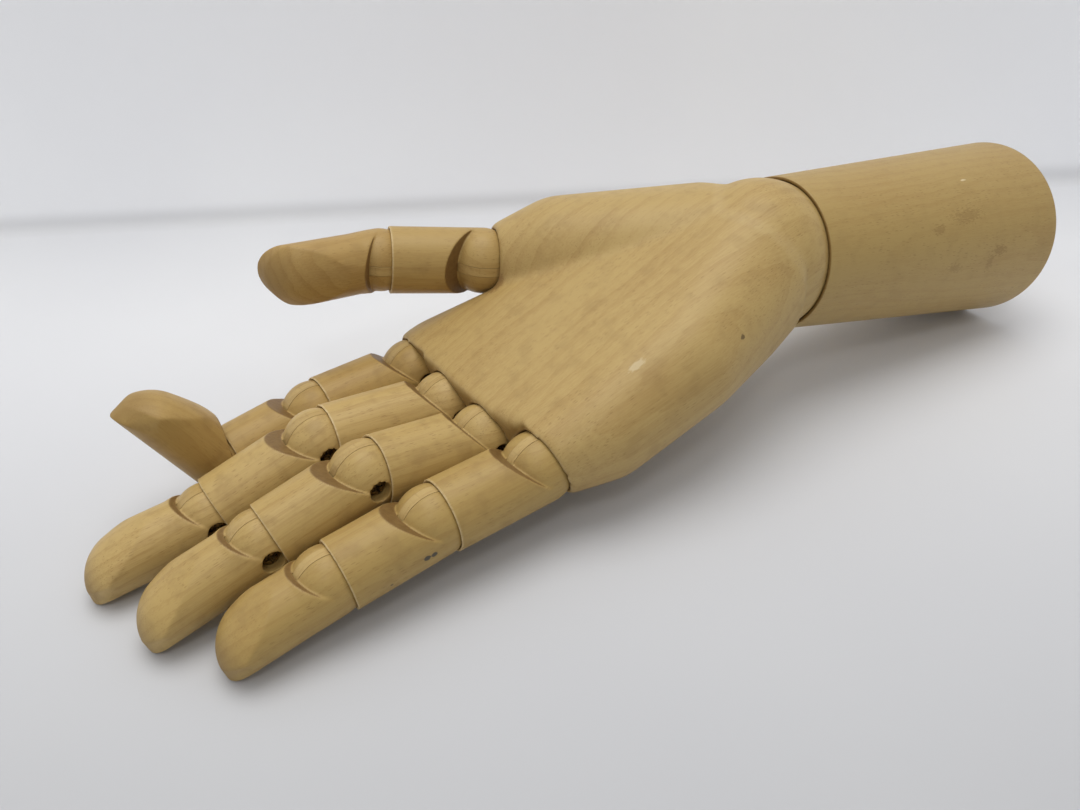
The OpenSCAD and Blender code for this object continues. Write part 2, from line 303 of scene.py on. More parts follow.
def wear_and_shade_group() -> bpy.types.NodeTree:
    """What handling did to a wooden piece, and the shade painted into its joint pockets.

    Returns:
        A group that darkens cut end grain, paints shade and stain into joint pockets, slots and cups, brightens
        rubbed rims and adds grime.
    """
    n, given, out = new_group(
        "handled", ("Place", "Cuts"), {"Grime Amount": 0.3},
        {"Colour": (0.5, 0.35, 0.17), "Pocket Stain And Shade": (0.2, 0.12, 0.04), "Grime": srgb(138, 108, 64)},
        ("Colour", "Roughness Step"),
    )
    end, pocket_stain_and_shade, rim = n.split(given["Cuts"])
    cloud = n.streaks(given["Place"], 0.16, 0.16, 4)
    smear = n.streaks(given["Place"], 0.5, 0.9, 4)
    colour = n.mix(n.scaled(end, 0.34), given["Colour"], given["Pocket Stain And Shade"])
    # Painted shade and stain in joint pockets, slot walls and cup hollows, in the pocket colour.
    deep = n.scaled(pocket_stain_and_shade, n.math("MULTIPLY_ADD", smear, 0.4, 0.6))
    colour = n.mix(deep, colour, given["Pocket Stain And Shade"])
    dirt = n.scaled(n.ramp(cloud, 0.48, 0.72), given["Grime Amount"])
    colour = n.mix(dirt, colour, given["Grime"])
    rub = n.scaled(rim, n.ramp(smear, 0.3, 0.6, (0.45, 0.9)))
    colour = n.mix(rub, colour, srgb(214, 192, 146))
    n.feed(out["Colour"], colour)
    n.feed(out["Roughness Step"], n.math("ADD", n.scaled(dirt, 0.2), n.scaled(end, 0.15)))
    return n.tree


def spot_group() -> bpy.types.NodeTree:
    """One mark on a piece: an ellipsoid with a ragged edge.

    Returns:
        A group that gives the mark's share at a place.
    """
    n, given, out = new_group("mark", ("Place", "Centre", "Size"), {"Ragged": 0.5}, {}, ("Share",))
    offset = n.vector("SUBTRACT", given["Place"], given["Centre"])
    away = n.vector("LENGTH", n.vector("DIVIDE", offset, given["Size"]))
    rough = n.streaks(given["Place"], 0.9, 2.2, 4)
    away = n.math("ADD", away, n.scaled(n.math("SUBTRACT", rough, 0.5), n.scaled(given["Ragged"], 3.0)))
    n.feed(out["Share"], n.ramp(away, 0.65, 1.05, (1.0, 0.0)))
    return n.tree


def new_material(name: str) -> tuple[bpy.types.Material, Nodes, bpy.types.Node]:
    """A new material, with its nodes and its shader."""
    made = bpy.data.materials.new(name)
    made.use_nodes = True
    return made, Nodes(made.node_tree), made.node_tree.nodes["Principled BSDF"]


@dataclass(frozen=True)
class Mark:
    """A stain, dent, scratch or painted shadow at a place of one piece."""

    centre: Triple
    size: Triple
    colour: Colour
    strength: float = 0.8
    ragged: float = 0.5


@dataclass(frozen=True)
class WoodFinish:
    """Satin-lacquered beech, as on one piece."""

    name: str
    shift: Triple
    pale: Colour = srgb(192, 163, 104)
    dark: Colour = srgb(160, 125, 70)
    fleck: Colour = srgb(132, 98, 52)
    # The colour of painted shade and stain in joint pockets, slot walls, cup hollows and the forearm's rim face.
    pocket_stain_and_shade: Colour = srgb(106, 76, 38)
    ring_width: float = 2.6
    rings: float = 0.26
    flecks: float = 0.5
    fibre: float = 0.4
    grime: float = 0.2
    relief: float = 0.12
    relief_share: float = 0.25
    coat: float = 0.08
    coat_roughness: float = 0.28
    specular: float = 0.3
    marks: tuple[Mark, ...] = ()

    def material(self) -> bpy.types.Material:
        """Builds the material.

        Returns:
            The material, which reads the attributes wood_place and wood_cuts.
        """
        made, n, shader = new_material(self.name)
        place = n.add("ShaderNodeAttribute", attribute_name="wood_place").outputs["Vector"]
        cuts = n.add("ShaderNodeAttribute", attribute_name="wood_cuts").outputs["Vector"]
        beech = n.add("ShaderNodeGroup", node_tree=GROUPS["beech"])
        for name, value in (
            ("Place", place), ("Shift", self.shift), ("Ring Width", self.ring_width), ("Rings", self.rings),
            ("Flecks", self.flecks), ("Fibre", self.fibre), ("Pale", self.pale), ("Dark", self.dark),
            ("Fleck", self.fleck),
        ):
            n.feed(beech.inputs[name], value)
        handled = n.add("ShaderNodeGroup", node_tree=GROUPS["handled"])
        for name, value in (
            ("Place", n.vector("ADD", place, self.shift)), ("Cuts", cuts), ("Colour", beech.outputs["Colour"]),
            ("Pocket Stain And Shade", self.pocket_stain_and_shade), ("Grime Amount", self.grime),
        ):
            n.feed(handled.inputs[name], value)
        colour = handled.outputs["Colour"]
        for mark in self.marks:
            spot = n.add("ShaderNodeGroup", node_tree=GROUPS["mark"])
            for name, value in (
                ("Place", place), ("Centre", mark.centre), ("Size", mark.size), ("Ragged", mark.ragged),
            ):
                n.feed(spot.inputs[name], value)
            colour = n.mix(n.scaled(spot.outputs["Share"], mark.strength), colour, mark.colour)
        n.feed(shader.inputs["Base Color"], colour)
        rough = n.math("ADD", beech.outputs["Roughness"], handled.outputs["Roughness Step"])
        n.feed(shader.inputs["Roughness"], rough)
        n.feed(shader.inputs["Normal"], n.bump(beech.outputs["Height"], self.relief_share, self.relief))
        shader.inputs["Coat Roughness"].default_value = self.coat_roughness
        shader.inputs["Coat Weight"].default_value = self.coat
        shader.inputs["Specular IOR Level"].default_value = self.specular
        return made


@dataclass(frozen=True)
class MetalFinish:
    """Dull, slightly oxidised metal."""

    name: str
    bright: Colour
    dull: Colour
    roughness: float = 0.42
    relief: float = 0.05
    relief_share: float = 0.3

    def material(self) -> bpy.types.Material:
        """Builds the material, on object coordinates."""
        made, n, shader = new_material(self.name)
        place = n.add("ShaderNodeTexCoord").outputs["Object"]
        place = n.vector("MULTIPLY", place, (1 / MM, 1 / MM, 1 / MM))
        tarnish = n.noise(place, detail=4, scale=0.9)
        pitting = n.noise(place, detail=3, scale=5.0)
        n.feed(shader.inputs["Base Color"], n.mix(n.ramp(tarnish, 0.35, 0.65), self.bright, self.dull))
        n.feed(shader.inputs["Roughness"], n.math("MULTIPLY_ADD", tarnish, 0.3, self.roughness - 0.15))
        n.feed(shader.inputs["Metallic"], n.ramp(pitting, 0.3, 0.7, (1.0, 0.8)))
        n.feed(shader.inputs["Normal"], n.bump(pitting, self.relief_share, self.relief))
        return made


GROUPS: dict[str, bpy.types.NodeTree] = {}


def mesh_object(name: str, mesh: bpy.types.Mesh) -> bpy.types.Object:
    """A mesh as an object in the scene."""
    made = bpy.data.objects.new(name, mesh)
    bpy.context.scene.collection.objects.link(made)
    return made


def from_bmesh(name: str, shape: bmesh.types.BMesh) -> bpy.types.Object:
    """A bmesh as an object, its normals outward."""
    bmesh.ops.remove_doubles(shape, verts=shape.verts, dist=1e-5)
    bmesh.ops.recalc_face_normals(shape, faces=shape.faces)
    mesh = bpy.data.meshes.new(name)
    shape.to_mesh(mesh)
    shape.free()
    return mesh_object(name, mesh)


def ball(radius: float, centre: Triple = (0.0, 0.0, 0.0), turns: int = 96) -> bpy.types.Object:
    """A sphere with its poles on Y."""
    shape = bmesh.new()
    spin = Matrix.Translation(centre) @ Matrix.Rotation(math.pi / 2, 4, "X")
    bmesh.ops.create_uvsphere(shape, u_segments=turns, v_segments=turns // 2, radius=radius, matrix=spin)
    return from_bmesh("ball", shape)


def rod(radius: float, start: Vector, end: Vector, turns: int = 96) -> bpy.types.Object:
    """A closed cylinder between two points."""
    shape = bmesh.new()
    way = end - start
    turn = Vector((0.0, 0.0, 1.0)).rotation_difference(way).to_matrix().to_4x4()
    spin = Matrix.Translation((start + end) / 2) @ turn
    bmesh.ops.create_cone(
        shape, cap_ends=True, segments=turns, radius1=radius, radius2=radius, depth=way.length, matrix=spin
    )
    return from_bmesh("rod", shape)


def block(place: Matrix, low: Triple, high: Triple) -> bpy.types.Object:
    """A box between two corners, in a frame of its own."""
    shape = bmesh.new()
    middle = [(a + b) / 2 for a, b in zip(low, high)]
    size = [b - a for a, b in zip(low, high)]
    bmesh.ops.create_cube(shape, matrix=place @ Matrix.Translation(middle) @ Matrix.Diagonal((*size, 1.0)))
    return from_bmesh("block", shape)


def hull(points: list[Vector]) -> bpy.types.Object:
    """The convex hull of points."""
    shape = bmesh.new()
    for point in points:
        shape.verts.new(point)
    made = bmesh.ops.convex_hull(shape, input=shape.verts)
    loose = {v for v in made["geom_interior"] + made["geom_unused"] if isinstance(v, bmesh.types.BMVert)}
    bmesh.ops.delete(shape, geom=list(loose), context="VERTS")
    return from_bmesh("hull", shape)


def around(count: int) -> list[tuple[float, float]]:
    """The cosines and sines of a full turn in even steps."""
    turns = [2 * math.pi * k / count for k in range(count)]
    return [(math.cos(turn), math.sin(turn)) for turn in turns]


def settle(obj: bpy.types.Object) -> bpy.types.Object:
    """Applies an object's modifiers and returns the object."""
    graph = bpy.context.evaluated_depsgraph_get()
    mesh = bpy.data.meshes.new_from_object(obj.evaluated_get(graph))
    obj.modifiers.clear()
    obj.data = mesh
    return obj


def carve(obj: bpy.types.Object, how: str, *tools: bpy.types.Object) -> bpy.types.Object:
    """Cuts tools out of an object, adds them to it or keeps what they share.

    Args:
        obj: The object that changes.
        how: DIFFERENCE, UNION or INTERSECT.
        *tools: Closed objects, which are removed afterwards.

    Returns:
        The changed object.
    """
    for tool in tools:
        cut = obj.modifiers.new("cut", "BOOLEAN")
        cut.operation = how
        cut.object = tool
        cut.solver = "MANIFOLD"
        settle(obj)
        bpy.data.objects.remove(tool)
    return obj


def sand(obj: bpy.types.Object, voxel: float, passes: int, strength: float = 0.5) -> bpy.types.Object:
    """Rebuilds a surface on small voxels and sands it, which breaks every sharp edge a little.

    Args:
        obj: The object.
        voxel: The size of a voxel in millimetres.
        passes: How often the surface is smoothed.
        strength: How far each pass moves it.

    Returns:
        The object.
    """
    again = obj.modifiers.new("voxels", "REMESH")
    again.mode = "VOXEL"
    again.voxel_size = voxel
    again.use_smooth_shade = True
    if passes:
        soft = obj.modifiers.new("sanding", "SMOOTH")
        soft.factor = strength
        soft.iterations = passes
    return settle(obj)


class Workshop:
    """Turns finished local meshes into placed pieces and keeps count of them."""

    def __init__(self) -> None:
        """Starts with no pieces."""
        self.made = 0

    def wooden(self, obj: bpy.types.Object, cuts: np.ndarray | None = None) -> bpy.types.Object:
        """Writes a wooden piece's own coordinates and its cut faces on its vertices.

        Args:
            obj: The object, still in its own frame.
            cuts: For each vertex the share of end grain, pocket and rim, or None to use end grain alone.

        Returns:
            The object.
        """
        mesh = obj.data
        count = len(mesh.vertices)
        places = np.empty(count * 3, np.float32)
        mesh.vertices.foreach_get("co", places)
        if cuts is None:
            cuts = np.zeros((count, 3), np.float32)
            cuts[:, 0] = end_grain(mesh)
        mesh.attributes.new("wood_place", "FLOAT_VECTOR", "POINT").data.foreach_set("vector", places)
        flat = np.ascontiguousarray(cuts, np.float32).ravel()
        mesh.attributes.new("wood_cuts", "FLOAT_VECTOR", "POINT").data.foreach_set("vector", flat)
        return obj

    def place(
        self, obj: bpy.types.Object, name: str, where: Place, body: str, stock: Stock,
        material: bpy.types.Material, node: str,
    ) -> bpy.types.Object:
        """Puts a finished piece where it belongs, on the body that it moves with, and hides the solid that it stands
        for.

        Args:
            obj: The object, in its own frame in millimetres.
            name: The piece's name.
            where: The piece's frame.
            body: The body that it moves with.
            stock: What it is made of; not used.
            material: Its material.
            node: The solid that it stands for.

        Returns:
            The piece.
        """
        obj.name = name
        obj.data.name = name
        obj.data.transform(where.matrix())
        obj.data.materials.clear()
        obj.data.materials.append(material)
        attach(obj, body)
        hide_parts(node)
        self.made += 1
        LOG.info("%s rides on %s, %d faces", name, body, len(obj.data.polygons))
        return obj


def vertex_array(mesh: bpy.types.Mesh, name: str) -> np.ndarray:
    """The vertices' places or normals as rows."""
    values = np.empty(len(mesh.vertices) * 3, np.float32)
    if name == "co":
        mesh.vertices.foreach_get("co", values)
    else:
        mesh.vertex_normals.foreach_get("vector", values)
    return values.reshape(-1, 3)


def step(values: np.ndarray, low: float, high: float) -> np.ndarray:
    """A smooth step from 0 at low to 1 at high."""
    share = np.clip((values - low) / (high - low), 0.0, 1.0)
    return share * share * (3 - 2 * share)


def end_grain(mesh: bpy.types.Mesh) -> np.ndarray:
    """How far each vertex faces along the grain, from 0 to 1."""
    return step(np.abs(vertex_array(mesh, "normal")[:, 0]), 0.55, 0.98)


@dataclass(frozen=True)
class JointCut:
    """The oblique cut on the palm side, behind a ball."""

    start: float
    slope: float


@dataclass(frozen=True)
class JointShape:
    """What every ball joint of the hand shares."""

    cup_gap: float = 0.25
    rim_back: float = 2.8
    slot_width: float = 3.0
    slot_over: float = 0.3
    shank_r: float = 1.55
    head_hole_r: float = 2.9
    head_floor: float = 4.0
    tongue_thick: float = 2.8
    tongue_gap: float = 0.05
    neck_long: float = 15.0
    neck_half: float = 4.0
    sharp: float = 38.0
    hollow_back: float = 6.5
    rim_thick: float = 1.3


JOINT = JointShape()
SEGMENT_R = (10.1, 9.7, 9.2)
THUMB_R = (10.4, 9.7)
CUTS = (JointCut(2.2, 0.98), JointCut(1.0, 1.08), JointCut(-0.5, 0.98))
INDEX_END_CUT = JointCut(-0.5, 1.6)
THUMB_CUT = JointCut(4.1, 0.91)
SEGMENT_VOXEL = 0.34


class ShapeTree(Nodes):
    """A Geometry Nodes tree with named sizes, which ends in one dressed mesh."""

    NAME = "shape"
    SIZES: dict[str, float] = {}

    def __init__(self) -> None:
        """Builds the tree."""
        super().__init__(bpy.data.node_groups.new(self.NAME, "GeometryNodeTree"))
        face = self.tree.interface
        face.new_socket("Blank", in_out="INPUT", socket_type="NodeSocketGeometry")
        for label, default in self.SIZES.items():
            face.new_socket(label, in_out="INPUT", socket_type="NodeSocketFloat").default_value = default
        face.new_socket("Has Cup", in_out="INPUT", socket_type="NodeSocketBool")
        face.new_socket("Finish", in_out="INPUT", socket_type="NodeSocketMaterial")
        face.new_socket("Piece", in_out="OUTPUT", socket_type="NodeSocketGeometry")
        self.given = {s.name: s for s in self.add("NodeGroupInput").outputs}
        real = self.add("GeometryNodeRealizeInstances")
        self.feed(real.inputs["Geometry"], self.build())
        dress = self.add("GeometryNodeSetMaterial")
        self.feed(dress.inputs["Geometry"], real.outputs["Geometry"])
        self.feed(dress.inputs["Material"], self.given["Finish"])
        self.feed(self.add("NodeGroupOutput").inputs["Piece"], dress.outputs["Geometry"])

    def build(self) -> bpy.types.NodeSocket:
        """Wires the shape and gives its mesh."""
        return self.given["Blank"]

    def shape(self, kind: str, shift: object = None, turn: object = None, **sizes: object) -> bpy.types.NodeSocket:
        """A mesh primitive, moved and turned."""
        node = self.add("GeometryNodeMesh" + kind)
        for name, value in sizes.items():
            self.feed(node.inputs[name.replace("_", " ")], value)
        return self.put(node.outputs["Mesh"], shift, turn)

    def put(self, geometry: object, shift: object = None, turn: object = None) -> bpy.types.NodeSocket:
        """Moves and turns a geometry."""
        node = self.add("GeometryNodeTransform")
        for name, value in (("Geometry", geometry), ("Translation", shift), ("Rotation", turn)):
            self.feed(node.inputs[name], value)
        return node.outputs["Geometry"]

    def boolean(self, how: str, first: object, *others: object) -> bpy.types.NodeSocket:
        """A mesh boolean."""
        node = self.add("GeometryNodeMeshBoolean", operation=how, solver="MANIFOLD")
        self.feed(node.inputs["Mesh 1" if how == "DIFFERENCE" else "Mesh 2"], first)
        for other in others:
            self.tree.links.new(other, node.inputs["Mesh 2"])
        return node.outputs["Mesh"]

    def run(
        self, blank: bpy.types.Object, finish: bpy.types.Material, has_cup: bool = False, **sizes: float
    ) -> bpy.types.Object:
        """Runs the tree on a blank.

        Args:
            blank: The object that the tree starts from.
            finish: The piece's material.
            has_cup: Whether the front end holds a cup.
            **sizes: Inputs by name, with underscores for spaces.

        Returns:
            The blank, now the piece.
        """
        made = blank.modifiers.new(self.NAME, "NODES")
        made.node_group = self.tree
        ids = {item.name: item.identifier for item in self.tree.interface.items_tree if item.in_out == "INPUT"}
        for name, value in sizes.items():
            made[ids[name.replace("_", " ")]] = float(value)
        made[ids["Has Cup"]] = has_cup
        made[ids["Finish"]] = finish
        return settle(blank)


class BallJointTree(ShapeTree):
    """The node tree that gives a turned blank its ball, oblique cut, screw hole and cup."""

    NAME = "ball_joint"
    SIZES = {
        "Radius": 10.0, "Cut Start": 3.5, "Cut Angle": 0.74, "Shank Radius": 1.55, "Head Hole Radius": 2.9,
        "Head Floor": 4.0, "Side": 1.0, "Cup Radius": 10.0, "Cup At": 34.0,
    }
    REACH = 60.0
    SHANK_REACH = 15.0
    SINK_REACH = 10.0

    def build(self) -> bpy.types.NodeSocket:
        """Wires the tree."""
        g, far = self.given, self.REACH
        quarter = (math.pi / 2, 0.0, 0.0)
        slab = self.shape("Cube", (far / 2, 0.0, far / 2), Size=(far, far, far))
        lean = self.axes(0.0, self.math("MULTIPLY", g["Cut Angle"], -1.0), 0.0)
        slab = self.put(slab, self.axes(self.math("MULTIPLY", g["Cut Start"], -1.0)), lean)
        body = self.boolean("DIFFERENCE", g["Blank"], slab)
        sphere = self.shape("UVSphere", turn=quarter, Segments=96, Rings=48, Radius=g["Radius"])
        body = self.boolean("UNION", body, sphere)
        shank = self.shape("Cylinder", turn=quarter, Vertices=48, Radius=g["Shank Radius"], Depth=self.SHANK_REACH)
        sink_at = self.math("ADD", self.math("SUBTRACT", g["Radius"], g["Head Floor"]), self.SINK_REACH / 2)
        sink_at = self.axes(0.0, self.math("MULTIPLY", sink_at, g["Side"]), 0.0)
        sink = self.shape(
            "Cylinder", sink_at, quarter, Vertices=64, Radius=g["Head Hole Radius"], Depth=self.SINK_REACH
        )
        body = self.boolean("DIFFERENCE", body, shank, sink)
        cup_at = self.axes(self.math("MULTIPLY", g["Cup At"], -1.0))
        cup = self.shape("UVSphere", cup_at, quarter, Segments=96, Rings=48, Radius=g["Cup Radius"])
        choice = self.add("GeometryNodeSwitch", input_type="GEOMETRY")
        for name, value in (
            ("Switch", g["Has Cup"]), ("False", body), ("True", self.boolean("DIFFERENCE", body, cup)),
        ):
            self.feed(choice.inputs[name], value)
        return choice.outputs["Output"]


class ScrewTree(ShapeTree):
    """The tree of a sunk screw, its head's top at the origin and its shank along -Z."""

    NAME = "joint_screw"
    SIZES = {"Head Radius": 2.55, "Head Height": 1.6, "Shank Length": 14.0, "Recess": 3.3}
    DOME = 1.45
    SHANK_R = 1.45
    RECESS_WIDTH = 0.62
    RECESS_REACH = 2.0
    WELL = {"Radius_Top": 0.95, "Radius_Bottom": 0.3, "Depth": 1.3}
    WELL_AT = (0.0, 0.0, -1.25)

    def build(self) -> bpy.types.NodeSocket:
        """Wires a domed head with a cross recess, on a plain shank."""
        g = self.given
        dome_r = self.math("MULTIPLY", g["Head Radius"], self.DOME)
        dome_at = self.axes(0.0, 0.0, self.math("MULTIPLY", dome_r, -1.0))
        dome = self.shape("UVSphere", dome_at, Segments=64, Rings=32, Radius=dome_r)
        head_at = self.axes(0.0, 0.0, self.math("MULTIPLY", g["Head Height"], -0.5))
        head = self.shape("Cylinder", head_at, Vertices=64, Radius=g["Head Radius"], Depth=g["Head Height"])
        size = self.axes(g["Recess"], self.RECESS_WIDTH, self.RECESS_REACH)
        slots = [self.shape("Cube", turn=(0.0, 0.0, turn), Size=size) for turn in (0.0, math.pi / 2)]
        well = self.shape("Cone", self.WELL_AT, Vertices=16, **self.WELL)
        crown = self.boolean("DIFFERENCE", self.boolean("INTERSECT", dome, head), *slots, well)
        down = self.math("MULTIPLY_ADD", g["Shank Length"], -0.5, self.math("MULTIPLY", g["Head Height"], -0.95))
        shank_at = self.axes(0.0, 0.0, down)
        shank = self.shape("Cylinder", shank_at, Vertices=32, Radius=self.SHANK_R, Depth=g["Shank Length"])
        return self.boolean("UNION", crown, shank)


class SpringTree(ShapeTree):
    """The tree of a coil spring, wound up along +Z."""

    NAME = "coil_spring"
    SIZES = {"Turns": 8.0, "Coil Radius": 5.2, "Height": 22.0, "Wire Radius": 0.8}

    def build(self) -> bpy.types.NodeSocket:
        """Wires the coil and its wire."""
        g = self.given
        coil = self.add("GeometryNodeCurveSpiral")
        coil.inputs["Resolution"].default_value = 32
        for name, size in (
            ("Rotations", "Turns"), ("Start Radius", "Coil Radius"), ("End Radius", "Coil Radius"),
            ("Height", "Height"),
        ):
            self.feed(coil.inputs[name], g[size])
        wire = self.add("GeometryNodeCurvePrimitiveCircle")
        wire.inputs["Resolution"].default_value = 12
        self.feed(wire.inputs["Radius"], g["Wire Radius"])
        swept = self.add("GeometryNodeCurveToMesh")
        swept.inputs["Fill Caps"].default_value = True
        self.feed(swept.inputs["Curve"], coil.outputs["Curve"])
        self.feed(swept.inputs["Profile Curve"], wire.outputs["Curve"])
        return swept.outputs["Mesh"]


def turned(name: str, profile: list[tuple[float, float]], turns: int = 192) -> bpy.types.Object:
    """A closed body turned about X.

    Args:
        name: The object's name.
        profile: Points (x, radius) of a closed outline, or an open one that starts and ends on the axis.
        turns: How many sides the turning has.

    Returns:
        The object.
    """
    shape = bmesh.new()
    rings = []
    for x, radius in profile:
        if radius < 1e-6:
            rings.append([shape.verts.new((x, 0.0, 0.0))] * turns)
            continue
        rings.append([shape.verts.new((x, radius * c, radius * s)) for c, s in around(turns)])
    closed = profile[0][1] > 1e-6
    pairs = list(zip(rings, rings[1:] + ([rings[0]] if closed else [])))
    for first, second in pairs[: len(rings) if closed else len(rings) - 1]:
        for i in range(turns):
            j = (i + 1) % turns
            corners = []
            for vert in (first[i], first[j], second[j], second[i]):
                if vert not in corners:
                    corners.append(vert)
            if len(corners) > 2:
                shape.faces.new(corners)
    made = from_bmesh(name, shape)
    made.data.shade_smooth()
    return made


def rounded(corners: list[tuple[float, float, float]], steps: int = 5) -> list[tuple[float, float]]:
    """An outline with its corners rounded.

    Args:
        corners: Points (x, radius, fillet) of an outline.
        steps: How many stretches a rounded corner has.

    Returns:
        The points of the rounded outline.
    """
    points = []
    count = len(corners)
    for i, (x, y, fillet) in enumerate(corners):
        if fillet <= 0 or i in (0, count - 1):
            points.append((x, y))
            continue
        here = Vector((x, y))
        back = (Vector(corners[i - 1][:2]) - here).normalized()
        ahead = (Vector(corners[i + 1][:2]) - here).normalized()
        for k in range(steps + 1):
            t = k / steps
            bend = here + back * fillet * (1 - t) ** 2 + ahead * fillet * t ** 2
            points.append((bend.x, bend.y))
    return points


def loft(rings: list[list[Vector]]) -> bpy.types.Object:
    """A closed skin over rings of points, with a cap at each end."""
    shape = bmesh.new()
    rows = [[shape.verts.new(p) for p in ring] for ring in rings]
    for first, second in zip(rows, rows[1:]):
        for i in range(len(first)):
            j = (i + 1) % len(first)
            shape.faces.new((first[i], first[j], second[j], second[i]))
    shape.faces.new(rows[0])
    shape.faces.new(rows[-1])
    return from_bmesh("loft", shape)


@dataclass(frozen=True)
class TipShape:
    """The carved end of a finger or the thumb, as shares of its radius unless said otherwise."""

    radius: float
    length: float
    taper: float
    curve_r: float = 80.0
    taper_from: float = 0.9
    end_round: float = 1.41
    reach: float = 0.985
    wall: float = 1.1
    proud: float = 0.03
    keel: float = 0.52
    thinner: float = 0.45
    swell: tuple[float, float] = (0.12, 0.035)
    soft: float = 0.07
    least: float = 0.2
    least_square: float = 0.05
    rings: int = 90
    crowd: float = 2.2
    sides: int = 120
    nose: float = 0.03

    def half_width(self, x: float, z: float) -> float:
        """Half the width at a distance along the segment, which narrows towards the dorsal line."""
        share = min(max((z + self.radius) / self.radius, 0.0), 1.0)
        wall_r = (self.keel + (self.wall - self.keel) * share) * self.radius
        past = x - (self.length - wall_r)
        if past <= 0:
            return 2 * self.radius
        return max(math.sqrt(max(wall_r ** 2 - past ** 2, 0.0)), self.least)

    def rounds(self, x: float) -> list[tuple[float, float]]:
        """The circles whose common area is the section at a distance along the segment.

        Args:
            x: The distance from the joint's axis in millimetres.

        Returns:
            Height of the centre and radius: the dowel, the long curve of the palm side, the end's ball.
        """
        r = self.radius
        slope = math.radians(self.taper)
        start = self.taper_from * r - self.curve_r * math.sin(slope)
        height = r - self.curve_r * math.cos(slope) + self.proud
        thin = self.thinner * min(x / (self.taper_from * r), 1.0) ** 2
        circles = [(-thin, r - thin), (height, math.sqrt(self.curve_r ** 2 - (x - start) ** 2))]
        end_r = self.end_round * r
        centre = self.length - self.reach * end_r
        away = centre - start
        centre_z = height + math.sqrt((self.curve_r - end_r) ** 2 - away ** 2)
        split = start + away * self.curve_r / (self.curve_r - end_r)
        if x > split:
            circles.append((centre_z, math.sqrt(max(end_r ** 2 - (x - centre) ** 2, self.least_square))))
        else:
            before = split - x
            wide = math.sqrt(end_r ** 2 - (split - centre) ** 2)
            wide += self.swell[0] * before + self.swell[1] * before ** 2
            circles.append((height + circles[1][1] - wide, wide))
        return circles

    def blank(self) -> bpy.types.Object:
        """The carved blank, from the joint's axis to the tip."""
        stations = [self.length * (1 - (1 - k / self.rings) ** self.crowd) for k in range(self.rings)]
        return loft([self.ring(x) for x in stations + [self.length - self.nose]])

    def ring(self, x: float) -> list[Vector]:
        """The points of the section at a distance along the segment."""
        circles = self.rounds(x)
        seat = (min(z + r for z, r in circles) + max(z - r for z, r in circles)) / 2
        ring = []
        for c, s in around(self.sides):
            limits = [(z - seat) * s + math.sqrt(max(r ** 2 - ((z - seat) * c) ** 2, 1e-6)) for z, r in circles]
            reach = soft_least(limits, self.soft)
            for _ in range(4 if abs(c) > 1e-3 else 0):
                reach = soft_least(limits + [self.half_width(x, seat + reach * s) / abs(c)], self.soft)
            ring.append(Vector((-x, reach * c, seat + reach * s)))
        return ring


def soft_least(values: list[float], blend: float) -> float:
    """The least of some distances, blended where two are close."""
    least = min(values)
    total = sum(math.exp(-(v - least) / blend) for v in values)
    return least - blend * math.log(total) if len(values) > 1 else least


